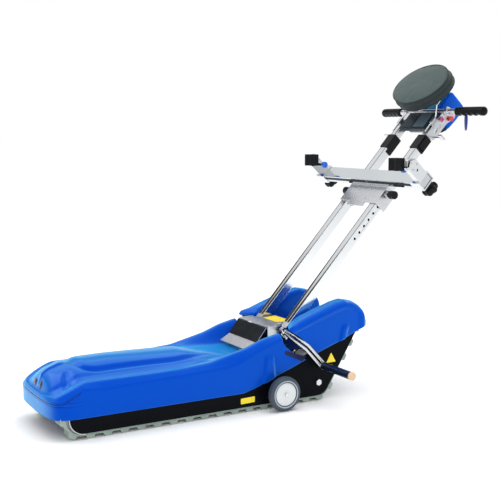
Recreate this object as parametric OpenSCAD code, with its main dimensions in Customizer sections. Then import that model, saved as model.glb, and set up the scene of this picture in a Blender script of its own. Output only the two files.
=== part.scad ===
// Tracked stair climber: a driven track base with a tilting mast that holds a wheelchair.
// +X is the pedal side, +Y the operator's end and +Z up. Lengths along Y are first measured from the
// mast datum and along X from the base's middle plane. Each node is then moved so that the origin
// lies on the floor under the middle of the whole object.

/* [Track base] */
// Distance between the outer faces of the two covers
base_w = 361; // [350:1:370]
// Height of the side plates' lower edge above the floor
plate_floor = 20; // [19:1:22]
// Thickness of the side plates
plate_t = 5; // [4:1:5]
// Wall of the blue covers
cover_wall = 3; // [2:0.5:3]
// Width of one rubber track
belt_w = 52; // [44:1:52]
// Spacing of the track's lugs
lug_pitch = 56; // [50:1:62]
// Height of a lug
lug_h = 11; // [9:1:12]
// Thickness of the track between its lugs
belt_t = 7; // [5:1:8]
// Inside radius of the track round its large wheels
idler_r = 50; // [48:1:52]
// Inside radius of the track round its upper wheel
upper_r = 32; // [30:1:33]
// Radius of the roller that presses on the returning track
press_r = 22; // [18:1:24]

/* [Transport wheels] */
// Diameter of a tyre
wheel_d = 119; // [110:1:119]
// Width of a tyre
wheel_w = 28; // [24:1:30]
// Distance of a tyre's middle plane from the centre line
wheel_x = 222; // [218:1:226]

/* [Mast] */
// Lean of the mast, in degrees above the floor
mast_angle = 47.5; // [45:0.5:50]
// Distance of each rail from the centre line
rail_x = 89; // [86:1:90]
// Width of a rail across the mast
rail_w = 34; // [32:1:34]
// Depth of a rail, front to back
rail_d = 32; // [30:1:34]
// Wall of a rail
rail_wall = 2.5; // [2:0.5:3]
// Length of the rails above the datum
rail_top = 852; // [846:1:856]
// Spacing of the index holes
hole_pitch = 30; // [26:1:30]
// Radius of an index hole
hole_r = 4.5; // [4:0.5:5]

/* [Crossbar] */
// Half length of the crossbar
bar_half = 310; // [290:1:312]
// Height of the crossbar along the mast
bar_u = 654; // [650:1:658]
// Reach of an arm in front of the crossbar
arm_reach = 78; // [70:1:80]
// Edge of a pad
pad_size = 44; // [40:1:46]

/* [Head] */
// Diameter of a grip
grip_d = 34; // [30:1:36]
// Half width of the handlebar over its grips
bar_end = 290; // [280:1:300]
// Width of the headrest pad
pad_w = 286; // [280:1:310]
// Height of the headrest pad
pad_h = 206; // [190:1:210]
// Thickness of the headrest pad
pad_t = 60; // [50:1:62]

/* [Hidden] */
fine = 64;
eps = 0.05;              // running and assembly gap between round parts
mast_y = -68;            // mast datum: front face of the rails at the foot
mast_z = 270.6;
nose_y = -952;           // front of the nose
cover_x = base_w / 2;
plate_x = cover_x - cover_wall - 0.5;
belt_out = plate_x - plate_t - 2;
belt_in = belt_out - belt_w;
cheek_x = belt_in - 1.5;
cheek_t = 3;
outer_r = idler_r + belt_t + lug_h;
front_axle_y = -855;
rear_axle_y = 9;
upper_y = 144;
upper_z = 255;
press_y = -30;
press_z = 158;
idler_z = outer_r;
plate_r = outer_r - plate_floor;
shaft_r = 10;
pin_r = 8;
swing_y = -60;
swing_z = 98;
wheel_y = -157;
wheel_z = wheel_d / 2 + 0.5;
axle_r = 6;
swing_len = norm([wheel_y - swing_y, wheel_z - swing_z]);
swing_lift = 12;          // degrees that the wheels swing up

// Blue housing's outline in mast coordinates (along the mast, behind its front face)
housing = [[990, 22], [1011, 2], [1100, 0], [1110, 10], [1112, 22], [1111, 84], [1100, 96], [1046, 98], [990, 90]];
housing_x = 72;
rear_reach = max([for (p = housing) mast_y + p[0] * cos(mast_angle) + p[1] * sin(mast_angle)]);
y_shift = -(nose_y + rear_reach) / 2;
pedal_tip = 369;         // reach of the pedal on the right
arm_x1 = 316;            // outer face of an arm
knob_x = 300;
star_r = 30;
x_shift = -(pedal_tip - knob_x - star_r) / 2;

// ---- placing and simple shapes ----

// Mast coordinates: X across, u along the mast, w behind the front face of its rails
module at_mast(x = 0, u = 0, w = 0)
    translate([0, mast_y, mast_z]) rotate([mast_angle, 0, 0]) translate([x, u, -w]) children();

function mast_point(x, u, w) = [x, mast_y + u * cos(mast_angle) + w * sin(mast_angle),
    mast_z + u * sin(mast_angle) - w * cos(mast_angle)];

module place() translate([x_shift, y_shift, 0]) children();

module flip(side) mirror([side < 0 ? 1 : 0, 0, 0]) children();

module both() {
    children();
    mirror([1, 0, 0]) children();
}

// A profile drawn in Y and Z, as thick as x0 to x1
module slab_x(x0, x1) translate([x0, 0, 0]) rotate([90, 0, 90]) linear_extrude(x1 - x0) children();

module rod_x(x0, x1, r) translate([x0, 0, 0]) rotate([0, 90, 0]) cylinder(r = r, h = x1 - x0, $fn = fine);

module block(x0, x1, y0, y1, z0, z1) translate([x0, y0, z0]) cube([x1 - x0, y1 - y0, z1 - z0]);

module bar(p, q, r) {
    d = q - p;
    len_xy = norm([d[0], d[1]]);
    translate(p) rotate([0, atan2(len_xy, d[2]), atan2(d[1], d[0])]) cylinder(r = r, h = norm(d), $fn = fine);
}

// Round bar through a list of points, with a ball at each bend
module bent_bar(points, r) {
    for (i = [0 : len(points) - 2]) bar(points[i], points[i + 1], r);
    for (i = [1 : len(points) - 2]) translate(points[i]) sphere(r = r + 0.15, $fn = fine);
}

function arc(y, z, r, a0, a1, steps = 8) =
    [for (i = [0 : steps]) let (a = a0 + (a1 - a0) * i / steps) [y + r * cos(a), z + r * sin(a)]];

// A bent sheet through points in Y and Z, given by its outer side and its thickness
function sheet_normal(p, i) =
    let (a = p[max(i - 1, 0)], b = p[i], c = p[min(i + 1, len(p) - 1)],
         u = i > 0 ? (b - a) / norm(b - a) : (c - b) / norm(c - b),
         v = i < len(p) - 1 ? (c - b) / norm(c - b) : u, m = (u + v) / norm(u + v))
    [-m[1], m[0]] / (m * u);

module bent_sheet(points, t) {
    last = len(points) - 1;
    polygon(concat(points, [for (i = [last : -1 : 0]) points[i] - sheet_normal(points, i) * t]));
}

// ---- the track loop ----

// Wheels in the order that the belt meets them: Y, Z and the belt's signed inside radius
loop = [[front_axle_y, idler_z, idler_r], [rear_axle_y, idler_z, idler_r], [upper_y, upper_z, upper_r],
    [press_y, press_z, -(press_r + lug_h + belt_t)]];

function wheel(i) = loop[i % len(loop)];

function heading(i) =
    let (a = wheel(i), b = wheel(i + 1), d = [b[0] - a[0], b[1] - a[1]])
    atan2(d[1], d[0]) + asin((a[2] - b[2]) / norm(d));

function on_wheel(i, a, off) = let (c = wheel(i)) [c[0] + (c[2] + off) * sin(a), c[1] - (c[2] + off) * cos(a)];

// Turn round wheel i + 1, anticlockwise where the belt runs outside it
function turn(i) =
    let (a = heading(i), b = heading(i + 1), left = wheel(i + 1)[2] > 0)
    left ? (b < a ? b + 360 : b) - a : (b > a ? b - 360 : b) - a;

function straight(i, off) = norm(on_wheel(i + 1, heading(i), off) - on_wheel(i, heading(i), off));

function round_part(i, off) = abs((wheel(i + 1)[2] + off) * turn(i)) * PI / 180;

// Point and heading at distance s along the belt
function walk(s, off, i = 0) =
    let (a = heading(i), ls = straight(i, off), lr = round_part(i, off))
    s < ls ? [on_wheel(i, a, off) + s * [cos(a), sin(a)], a]
    : s < ls + lr ? let (b = a + turn(i) * (s - ls) / lr) [on_wheel(i + 1, b, off), b]
    : walk(s - ls - lr, off, i + 1);

belt_len = [for (i = 0, sum = 0; i <= len(loop); sum = sum + straight(i, belt_t) + round_part(i, belt_t), i = i + 1)
    sum][len(loop)];
lugs = round(belt_len / lug_pitch);
lug_step = belt_len / lugs;
lug_base = 30;
lug_tip = 20;

function lug(s) =
    let (m = walk(s, belt_t), t = [cos(m[1]), sin(m[1])], n = [sin(m[1]), -cos(m[1])])
    [walk(s - lug_base / 2, belt_t)[0], m[0] - t * lug_tip / 2 + n * lug_h, m[0] + t * lug_tip / 2 + n * lug_h,
     walk(s + lug_base / 2, belt_t)[0]];

function gap(s) = [for (k = [1 : 3]) walk(s + lug_base / 2 + k * (lug_step - lug_base) / 4, belt_t)[0]];

function inside_loop(off) = [for (i = [0 : len(loop) - 1]) let (n = ceil(abs(turn(i)) / 6))
    each [for (k = [0 : n]) on_wheel(i + 1, heading(i) + turn(i) * k / n, off)]];

module belt(side) color([0.55, 0.6, 0.56]) flip(side) slab_x(belt_in, belt_out) difference() {
    polygon([for (k = [0 : lugs - 1]) each concat(lug((k + 0.5) * lug_step), gap((k + 0.5) * lug_step))]);
    polygon(inside_loop(0));
}

// ---- base ----

// Blue covers' lower edge on the sides
function foot_z(y) = lookup(y, [[-290, 69], [-240, 83], [-163, 112], [-107, 131], [-34, 158], [8, 172], [168, 229]]);

function plate_outline(r) = concat(
    arc(front_axle_y + 8, idler_z, r, 180, 270), arc(rear_axle_y, idler_z, r, 270, 328.7),
    arc(upper_y, upper_z, 34, -31, 80),
    [[8, 186], [-34, 172], [-107, 150], [-240, 104], [-290, 92], [-870, 92]]);

// Shafts and pins that the side plates carry: Y, Z and radius
axle_places = [[front_axle_y, idler_z, pin_r], [rear_axle_y, idler_z, shaft_r], [upper_y, upper_z, pin_r],
    [press_y, press_z, 4], [swing_y, swing_z, pin_r]];

module side_plates() color([0.08, 0.09, 0.1]) both() difference() {
    slab_x(plate_x - plate_t, plate_x) polygon(plate_outline(plate_r));
    for (p = axle_places) translate([0, p[0], p[1]]) rod_x(plate_x - plate_t - 1, plate_x + 1, p[2] + eps);
    wheel_slot(plate_x - plate_t - 1, plate_x + 1);
}

module cheek_plates() color([0.16, 0.17, 0.18]) both() {
    difference() {
        slab_x(cheek_x - cheek_t, cheek_x) polygon(plate_outline(plate_r));
        for (p = axle_places) translate([0, p[0], p[1]]) rod_x(cheek_x - cheek_t - 1, cheek_x + 1, p[2] + eps);
        wheel_slot(cheek_x - cheek_t - 1, cheek_x + 1);
    }
    for (y = [-712, -404]) translate([0, y, 56]) rod_x(cheek_x - 1, plate_x - plate_t, 9);
}

// Floor plate with two cross bars between the cheeks
module chassis_floor() color([0.16, 0.17, 0.18]) {
    block(-cheek_x + cheek_t, cheek_x - cheek_t, -850, rear_axle_y - 20, plate_floor + 1, plate_floor + 4);
    for (y = [-712, -404])
        block(-cheek_x + cheek_t, cheek_x - cheek_t, y, y + 20, plate_floor + 3, plate_floor + 20);
}

// The cover's half section at a station: width and height from its foot to the middle
edge_z = [[-920, 123], [-902, 128], [-880, 142], [-843, 158], [-380, 162], [-303, 174], [-269, 187], [-203, 213],
    [-139, 232]];
crest_z = [[-920, 134], [-880, 158], [-843, 174], [-500, 176], [-400, 182], [-340, 196], [-269, 212], [-203, 236],
    [-139, 250]];
valley_z = [[-920, 142], [-880, 168], [-843, 184], [-600, 186], [-430, 184], [-330, 180], [-139, 176]];
spine_z = [[-940, 158], [-925, 176], [-906, 189], [-848, 206], [-700, 208], [-449, 200], [-330, 186], [-260, 178],
    [-139, 176]];

// Foot of the cover round its nose, then along its side to the notch: X, Y
nose_foot = [[30, nose_y], [90, nose_y + 3], [140, nose_y + 8], [163, nose_y + 13], [175, nose_y + 24],
    [cover_x - 0.2, nose_y + 50]];
side_foot = [for (y = [-870, -840, -780, -700, -600, -500, -430, -380, -340, -303, -269, -236, -203, -170, -139])
    [cover_x, y]];
cover_feet = [for (i = [len(side_foot) - 1 : -1 : 0]) side_foot[i], for (i = [len(nose_foot) - 1 : -1 : 0])
    nose_foot[i]];

function cover_row(f, wall) =
    let (x = f[0] - wall * min(1, f[0] / 60), y = f[1], rear = y > -150, low = foot_z(y),
         back = y + (y < -880 ? wall : 0), inward = (cover_x - f[0]) * 0.2,
         e = lookup(y, edge_z) - wall, c = lookup(y, crest_z) - wall, v = lookup(y, valley_z) - wall,
         s = lookup(max(y, -940), spine_z) - wall, slant = rear ? 104 : 0)
    [[x, back + slant, rear ? 158 : low], [x, back + slant * 0.5, (rear ? 197 : (low + e) / 2)],
     [x, back, e - 9], [x - 3, back, e - 3], [x - 9, back + inward * 0.4, e + 1],
     [x * 0.86, back + inward, (e + c) / 2 + 4], [x * 0.8, back + inward * 1.2, c],
     [x * 0.7, back + inward * 1.5, c * 0.55 + v * 0.45 + 2], [x * 0.63, back + inward * 1.8, v + 1],
     [x * 0.5, back + inward * 2, v + (s - v) * 0.05], [x * 0.42, back + inward * 2, v + (s - v) * 0.45],
     [x * 0.25, back + inward * 2.1, s - (s - v) * 0.12], [0, back + inward * 2.2, s]];

// Thin shell between two sets of rows, open at the first row and closed at the last
module shell(rows, inner) {
    n = len(rows);
    m = len(rows[0]);
    function o(i, j) = i * m + j;
    function q(i, j) = n * m + i * m + j;
    polyhedron(points = [for (r = rows) each r, for (r = inner) each r], faces = concat(
        [for (i = [0 : n - 2], j = [0 : m - 2]) each [[o(i, j), o(i, j + 1), o(i + 1, j + 1)],
            [o(i, j), o(i + 1, j + 1), o(i + 1, j)]]],
        [for (i = [0 : n - 2], j = [0 : m - 2]) each [[q(i, j), q(i + 1, j + 1), q(i, j + 1)],
            [q(i, j), q(i + 1, j), q(i + 1, j + 1)]]],
        [for (j = [0 : m - 2]) each [[o(0, j), q(0, j + 1), o(0, j + 1)], [o(0, j), q(0, j), q(0, j + 1)]]],
        [for (i = [0 : n - 2]) each [[o(i, 0), o(i + 1, 0), q(i + 1, 0)], [o(i, 0), q(i + 1, 0), q(i, 0)],
            [o(i, m - 1), q(i + 1, m - 1), o(i + 1, m - 1)], [o(i, m - 1), q(i, m - 1), q(i + 1, m - 1)]]],
        [for (j = [0 : floor(m / 2) - 1]) each [[o(n - 1, j), o(n - 1, j + 1), o(n - 1, m - 2 - j)],
            [o(n - 1, j), o(n - 1, m - 2 - j), o(n - 1, m - 1 - j)],
            [q(n - 1, j), q(n - 1, m - 2 - j), q(n - 1, j + 1)],
            [q(n - 1, j), q(n - 1, m - 1 - j), q(n - 1, m - 2 - j)]]],
        [[o(n - 1, 0), o(n - 1, m - 1), q(n - 1, m - 1)], [o(n - 1, 0), q(n - 1, m - 1), q(n - 1, 0)]]));
}

function whole_row(half) =
    concat(half, [for (i = [len(half) - 2 : -1 : 0]) [-half[i][0], half[i][1], half[i][2]]]);

module front_cover() color([0.05, 0.3, 0.8])
    shell([for (f = cover_feet) whole_row(cover_row(f, 0))], [for (f = cover_feet) whole_row(cover_row(f, cover_wall))]);

// Rear lobe over the upper end of a track
lobe_in = 109.5;
lobe_top = [[-84, 275], [-60, 287], [-15, 303], [40, 322], [90, 338], [126, 346], [158, 340], [184, 325],
    [202, 308], [212, 290], [216, 272]];
lobe_low = [[-84, 262], [-67, 248], [-50, 232], [-30, 213], [0, 180], [8, 172], [168, 229], [216, 250]];
lobe_in_low = [[-84, 262], [-50, 230], [0, 190], [120, 236], [200, 256], [216, 260]];
lobe_y = [-84, -72, -55, -20, 20, 60, 95, 126, 150, 170, 188, 202, 211, 216];

function lobe_row(y, wall) =
    let (x1 = cover_x - wall, x0 = lobe_in + wall, t = lookup(y, lobe_top) - wall, z1 = lookup(y, lobe_low),
         z0 = lookup(y, lobe_in_low), w = x1 - x0, r = min(16, (t - z1) * 0.5), b = min(y, 216 - wall))
    concat([[x1, b, z1], [x1, b, (z1 + t - r) / 2]],
        [for (a = [0 : 18 : 90]) [x1 - r * 1.3 * (1 - cos(a)), b, t - r * (1 - sin(a))]],
        [[x0 + w * 0.5, b, t + 0.5]],
        [for (a = [90 : -18 : 0]) [x0 + r * 0.8 * (1 - cos(a)), b, t - r * (1 - sin(a))]],
        [[x0, b, (z0 + t - r) / 2], [x0, b, z0]]);

module lobe(side) color([0.05, 0.3, 0.8]) flip(side)
    shell([for (y = lobe_y) lobe_row(y, 0)], [for (y = lobe_y) lobe_row(y, cover_wall)]);

module recess_deck() color([0.04, 0.16, 0.42]) slab_x(-lobe_in + 0.5, lobe_in - 0.5)
    bent_sheet([[-236, 166], [-137.5, 168], [-133, 178], [-30, 178], [30, 186], [160, 232], [176, 226]], 3);

module rear_panel() color([0.04, 0.16, 0.42]) slab_x(-lobe_in + 0.5, lobe_in - 0.5)
    bent_sheet([[172, 222.5], [60, 50], [42, 27]], 3);

module track_guides() color([0.85, 0.85, 0.82]) both()
    block(belt_in + 8, belt_out - 8, front_axle_y + 52, rear_axle_y - 52, lug_h + belt_t + 0.5, lug_h + belt_t + 18);

module toothed(r, teeth) {
    step = 360 / teeth;
    polygon([for (k = [0 : teeth - 1], c = [[0.02, r - 5], [0.2, r], [0.48, r], [0.66, r - 5]])
        c[1] * [cos((k + c[0]) * step), sin((k + c[0]) * step)]]);
}

module hex_x(x0, x1, r) translate([x0, 0, 0]) rotate([0, 90, 0]) cylinder(r = r, h = x1 - x0, $fn = 6);

module drive_axle() color([0.8, 0.8, 0.82]) translate([0, rear_axle_y, idler_z]) {
    rod_x(-plate_x - 1, plate_x + 1, shaft_r);
    both() hex_x(plate_x + 1, plate_x + 8, 11.5);
}

module drive_sprockets() color([0.3, 0.3, 0.32]) both() translate([0, rear_axle_y, idler_z]) difference() {
    slab_x(belt_in + 4, belt_out - 4) toothed(idler_r - 0.6, 20);
    rod_x(belt_in, belt_out, shaft_r + eps);
}

module idler_pair(y, z, r, bore) both() translate([0, y, z]) difference() {
    rod_x(belt_in + 2, belt_out - 2, r);
    rod_x(belt_in, belt_out, bore + eps);
    for (a = [0 : 60 : 300]) rotate([a, 0, 0]) translate([0, 0, r * 0.62]) rod_x(belt_in, belt_out, r * 0.16);
}

module front_idlers() color([0.32, 0.33, 0.34]) idler_pair(front_axle_y, idler_z, idler_r - 0.6, pin_r);

module upper_idlers() color([0.32, 0.33, 0.34]) idler_pair(upper_y, upper_z, upper_r - 0.6, pin_r);

module press_rollers() color([0.32, 0.33, 0.34]) both() translate([0, press_y, press_z]) difference() {
    rod_x(belt_in + 2, belt_out - 2, press_r - 1);
    rod_x(belt_in, belt_out, 4 + eps);
}

// Fixed pins of the idlers and of the press rollers, and the shaft that the wheels' frame swings on
module chassis_pins() color([0.75, 0.75, 0.77]) {
    both() for (p = [axle_places[0], axle_places[2], axle_places[3]]) translate([0, p[0], p[1]])
        rod_x(cheek_x - cheek_t - 0.4, plate_x - 0.2, p[2]);
    translate([0, swing_y, swing_z]) rod_x(-plate_x + 0.2, plate_x - 0.2, pin_r);
}

module drive_motor() color([0.2, 0.2, 0.22]) translate([0, -190, 76]) {
    rotate([90, 0, 0]) cylinder(r = 44, h = 150, $fn = fine);
    rotate([90, 0, 0]) translate([0, 0, 150]) cylinder(r = 34, h = 40, $fn = fine);
    block(-36, 36, -150, 0, -50, -38);
}

module gearbox() color([0.6, 0.6, 0.62]) difference() {
    union() {
        block(-50, 50, -100, 30, plate_floor + 6, 122);
        translate([0, -189, 76]) rotate([-90, 0, 0]) cylinder(r = 46, h = 90, $fn = fine);
    }
    translate([0, rear_axle_y, idler_z]) rod_x(-60, 60, shaft_r + eps);
    translate([0, swing_y, swing_z]) rod_x(-60, 60, pin_r + eps);
}

module battery_pack() color([0.12, 0.12, 0.13]) for (x = [-88, 4]) {
    block(x, x + 84, -690, -520, plate_floor + 24, 132);
    for (t = [14, 62]) block(x + t, x + t + 10, -610, -600, 132, 140);
}

module control_board() color([0.08, 0.35, 0.2]) {
    block(-70, 70, -500, -410, 60, 62);
    for (p = [[-60, -490, 18], [-20, -480, 12], [24, -486, 24]]) block(p[0], p[0] + 30, p[1], p[1] + 40, 62, 62 + p[2]);
    both() for (y = [-494, -416]) translate([60, y, plate_floor + 4]) cylinder(r = 3, h = 60 - plate_floor - 4, $fn = fine);
}

// ---- transport wheels ----

function wheel_at(a) =
    let (s = atan2(wheel_z - swing_z, wheel_y - swing_y) - a) [swing_y + swing_len * cos(s), swing_z + swing_len * sin(s)];

// The axle's way through a plate as the wheels rise
module wheel_slot(x0, x1) for (a = [0 : 2 : swing_lift])
    translate([0, wheel_at(a)[0], wheel_at(a)[1]]) rod_x(x0, x1, axle_r + 2);

module swing_frame() color([0.5, 0.5, 0.52]) {
    both() difference() {
        union() {
            slab_x(cheek_x - cheek_t - 12, cheek_x - cheek_t - 5) polygon([[swing_y - 6, swing_z - 14],
                [swing_y - 6, swing_z + 14], [wheel_y, wheel_z + 13], [wheel_y, wheel_z - 13]]);
            translate([0, swing_y, swing_z]) rod_x(cheek_x - cheek_t - 12, cheek_x - cheek_t - 5, 16);
            translate([0, wheel_y, wheel_z]) rod_x(cheek_x - cheek_t - 12, cheek_x - cheek_t - 5, 14);
        }
        translate([0, swing_y, swing_z]) rod_x(0, cheek_x, pin_r + eps);
    }
    both() translate([0, wheel_y, wheel_z]) rod_x(cheek_x - cheek_t - 12, wheel_x + wheel_w / 2 + 4, axle_r);
}

hub_r = wheel_d / 2 - 17;

module tyre(side) color([0.2, 0.25, 0.3]) flip(side) translate([wheel_x, wheel_y, wheel_z]) rotate([0, 90, 0])
    rotate_extrude($fn = fine) polygon(concat([[hub_r + 0.05, -wheel_w / 2 + 3], [wheel_d / 2 - 8, -wheel_w / 2]],
        [for (a = [-60 : 15 : 60]) [wheel_d / 2 - 8 + 8 * cos(a), wheel_w / 2 * sin(a) / sin(75)]],
        [[wheel_d / 2 - 8, wheel_w / 2], [hub_r + 0.05, wheel_w / 2 - 3]]));

module hub(side) color([0.92, 0.93, 0.93]) flip(side) translate([wheel_x, wheel_y, wheel_z]) difference() {
    union() {
        rod_x(-wheel_w / 2 + 5, wheel_w / 2 - 5, hub_r);
        rod_x(-wheel_w / 2, wheel_w / 2, 17);
    }
    rod_x(-wheel_w, wheel_w, axle_r + eps);
    for (a = [0 : 72 : 288]) rotate([a, 0, 0]) translate([0, 0, 30]) rod_x(-wheel_w, wheel_w, 6.5);
}

// ---- pedal ----

pedal_y = -101;
pedal_z = 254;
pedal_r = 6;
pedal_line = [[126, pedal_y, pedal_z], [150, -76, 231], [187, -44, 199], [192, 19, 129]];
bar_gap = 8;              // half distance between the two bars of the arm
pedal_bar = 5.5;

module pedal_shaft() color([0.85, 0.85, 0.87]) translate([0, pedal_y, pedal_z]) {
    rod_x(-112, 119, pedal_r);
    rod_x(-120, -112, pedal_r + 3);
}

// Flat pawl clamped on the shaft's middle, which holds the mast's tilt
module tilt_pawl() color([0.5, 0.5, 0.52]) translate([0, pedal_y, pedal_z]) difference() {
    union() {
        rod_x(-8, 8, 10);
        slab_x(-8, 8) polygon([[-8, -4], [6, -6], [9, -28], [22, -40], [18, -46], [2, -40]]);
    }
    rod_x(-9, 9, pedal_r + eps);
}

module pedal_arm() color([0.85, 0.86, 0.88]) {
    translate([0, pedal_y, pedal_z]) difference() {
        rod_x(116, 134, 11);
        rod_x(115, 119 + eps, pedal_r + eps);
    }
    for (s = [-1, 1]) bent_bar([for (i = [0 : 3]) pedal_line[i] + s * (i == 0 ? 4 : bar_gap) * [0, 0.69, 0.72]],
        pedal_bar);
    translate([0, pedal_line[3][1], pedal_line[3][2]]) {
        rod_x(185, 198, 14);
        rod_x(197, 362, 8);
    }
}

module pedal_sleeve() color([0.06, 0.08, 0.14]) translate([0, pedal_line[3][1], pedal_line[3][2]]) difference() {
    rod_x(198, 360, 13.5);
    rod_x(197, 361, 8 + eps);
}

module pedal_end_cap() color([0.87, 0.76, 0.64]) translate([0, pedal_line[3][1], pedal_line[3][2]]) difference() {
    union() {
        rod_x(360, 366, 14.5);
        translate([366, 0, 0]) rotate([0, 90, 0]) cylinder(r1 = 14.5, r2 = 11, h = 3, $fn = fine);
    }
    rod_x(359, 362 + eps, 8 + eps);
}

// ---- mast foot ----

hinge_u = -30;
hinge_w = 16;
hinge = mast_point(0, hinge_u, hinge_w);
plate_half = 98;

module ramp_plate() color([0.8, 0.81, 0.83]) slab_x(-plate_half, plate_half)
    bent_sheet([[-231, 193], [-195, 212], [-154, 264]], 2);

// Top plate on two legs, with a slot for each rail and two lugs that carry the pedal shaft
module foot_plate() color([0.86, 0.87, 0.88]) difference() {
    union() {
        block(-plate_half - 6, plate_half + 6, -151, -40, 264.5, 267.5);
        block(-64, 64, -41, -18, 264.5, 267.5);
        both() slab_x(60, 67) polygon([[pedal_y - 10, 266], [pedal_y + 10, 266], [pedal_y + 8, pedal_z - 10],
            [pedal_y - 8, pedal_z - 10]]);
        both() slab_x(plate_half + 0.5, plate_half + 3.5)
            polygon([[-151, 266], [-112, 266], [-112, 178], [-132, 178], [-150, 220]]);
    }
    translate([0, pedal_y, pedal_z]) rod_x(-120, 120, pedal_r + eps);
    both() block(rail_x - rail_w / 2 - 3, plate_half + 8, -94, -39, 260, 270);
}

module mast_bracket() color([0.2, 0.21, 0.22]) difference() {
    union() {
        block(-58, 58, -120, -40, 178, 182.5);
        both() slab_x(40, 50) polygon([[-118, 182], [-46, 182], [hinge[1] + 16, hinge[2]],
            [hinge[1], hinge[2] + 15], [hinge[1] - 16, hinge[2]]]);
    }
    translate(hinge) rod_x(-60, 60, pin_r + eps);
}

module mast_pin() color([0.8, 0.8, 0.82]) translate(hinge) rod_x(-71, 71, pin_r);

// ---- mast ----

module tube(x, u0, u1, wx, dw, wall, w = rail_d / 2) difference() {
    at_mast(x, 0, w) block(-wx / 2, wx / 2, u0, u1, -dw / 2, dw / 2);
    at_mast(x, 0, w) block(-wx / 2 + wall, wx / 2 - wall, u0 - 1, u1 + 1, -dw / 2 + wall, dw / 2 - wall);
}

holes_from = 397;
holes = 8;

module rail(side) color([0.86, 0.87, 0.88]) flip(side) difference() {
    tube(rail_x, -48, rail_top, rail_w, rail_d, rail_wall);
    for (k = [0 : holes - 1]) at_mast(0, holes_from + k * hole_pitch, rail_d / 2)
        rod_x(rail_x + rail_w / 2 - rail_wall - 1, rail_x + rail_w / 2 + 1, hole_r);
}

// Blocks at the rails' feet that turn on the pin, and the spacer between the bracket's ears
module rail_foot() color([0.3, 0.31, 0.33]) difference() {
    at_mast(0, hinge_u, hinge_w) union() {
        both() block(52, rail_x - rail_w / 2, -14, 14, -13, 13);
        rod_x(-53, 53, 12);
    }
    both() translate(hinge) block(39.5, 50.5, -30, 30, -30, 30);
    translate(hinge) rod_x(-80, 80, pin_r + eps);
}

clamp_u = 820;

module rail_clamps() color([0.09, 0.1, 0.11]) both() difference() {
    at_mast(rail_x, 0, rail_d / 2) union() {
        block(-21, 21, clamp_u, 884, -19, 19);
        block(-21, -10, clamp_u - 14, clamp_u + 6, -19, 6);
        block(21, 27, clamp_u + 8, 876, -14, 14);
    }
    at_mast(rail_x, 0, rail_d / 2) block(-rail_w / 2 - 0.1, rail_w / 2 + 0.1, clamp_u - 20, rail_top + 0.1,
        -rail_d / 2 - 0.1, rail_d / 2 + 0.1);
    at_mast(rail_x, 0, rail_d / 2) block(-tube_w / 2 - 0.5, tube_w / 2 + 0.5, rail_top - 1, 886, -tube_d / 2 - 0.5,
        tube_d / 2 + 0.5);
}

// ---- carriage and crossbar ----

carr_lo = 548;
carr_hi = 630;
out_x = rail_x + rail_w / 2 + 1;
knob_u = holes_from + (holes - 1) * hole_pitch;

module carriage() color([0.84, 0.85, 0.87]) difference() {
    at_mast() union() {
        block(-out_x - 4, out_x + 4, carr_lo, carr_hi, 1, 5);
        block(-52, 44, carr_lo - 18, carr_lo + 2, 1, 5);
        both() block(out_x, out_x + 4, carr_lo, carr_hi, -rail_d - 14, 2);
        both() block(rail_x - rail_w / 2 - 5, rail_x - rail_w / 2 - 1, carr_lo, carr_hi, -rail_d - 2, 2);
        both() block(out_x + 3, out_x + 12, knob_u - 10, knob_u + 10, -rail_d / 2 - 10, -rail_d / 2 + 10);
        block(-out_x - 4, out_x + 4, carr_hi - 2, bar_u + 24, 1, 5);
    }
    at_mast(0, knob_u, rail_d / 2) both() rod_x(rail_x, out_x + 20, 4 + eps);
}

module carriage_knob(side) color([0.05, 0.05, 0.06]) flip(side) at_mast(0, knob_u, rail_d / 2) {
    rod_x(rail_x + rail_w / 2 + 0.3, out_x + 26, 4);
    rod_x(out_x + 13, out_x + 20, 9);
    rod_x(out_x + 20, out_x + 44, 15);
}

bar_w0 = -5;
bar_d = 30;
bar_h = 50;
pad_x0 = 242;

module crossbar() color([0.86, 0.87, 0.88]) difference() {
    at_mast() block(-bar_half, bar_half, bar_u - bar_h / 2, bar_u + bar_h / 2, -bar_w0, -bar_w0 + bar_d);
    at_mast() both() block(60, bar_half + 1, bar_u - bar_h / 2 + 2.5, bar_u + bar_h / 2 - 2.5, -bar_w0 + 2.5,
        -bar_w0 + bar_d - 2.5);
}

arm_x0 = 266;
bar_front = bar_d - bar_w0;
arm_front = bar_front + arm_reach;
hinge_back = 8;           // pad's hinge rod behind the arm's tip
plunger_back = 36;        // plunger behind the arm's tip

// Sleeve on the crossbar, an arm that reaches forward, and the hinge plate and rod on the arm's tip
module arm(side) color([0.86, 0.87, 0.88]) flip(side) difference() {
    at_mast() union() {
        block(arm_x0, arm_x1, bar_u - bar_h / 2 - 4, bar_u + bar_h / 2 + 4, -bar_w0 - 4.5, bar_front + 4);
        block(arm_x1 - 24, arm_x1, bar_u - 23, bar_u + 23, bar_front + 2, arm_front);
        translate([arm_x1, bar_u, arm_front - 14]) hex_x(-4, 5, 24);
        translate([0, bar_u, arm_front - hinge_back]) rod_x(268, arm_x1, 6);
    }
    at_mast() block(arm_x0 - 1, arm_x1 + 1, bar_u - bar_h / 2 - 0.3, bar_u + bar_h / 2 + 0.3, -bar_w0 - 0.3,
        bar_front + 0.3);
    at_mast() translate([0, bar_u, arm_front - plunger_back]) rod_x(250, arm_x1 + 6, 5 + eps);
    at_mast(knob_x, bar_u, 0) cylinder(r = 5 + eps, h = 6, $fn = fine);
}

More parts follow.
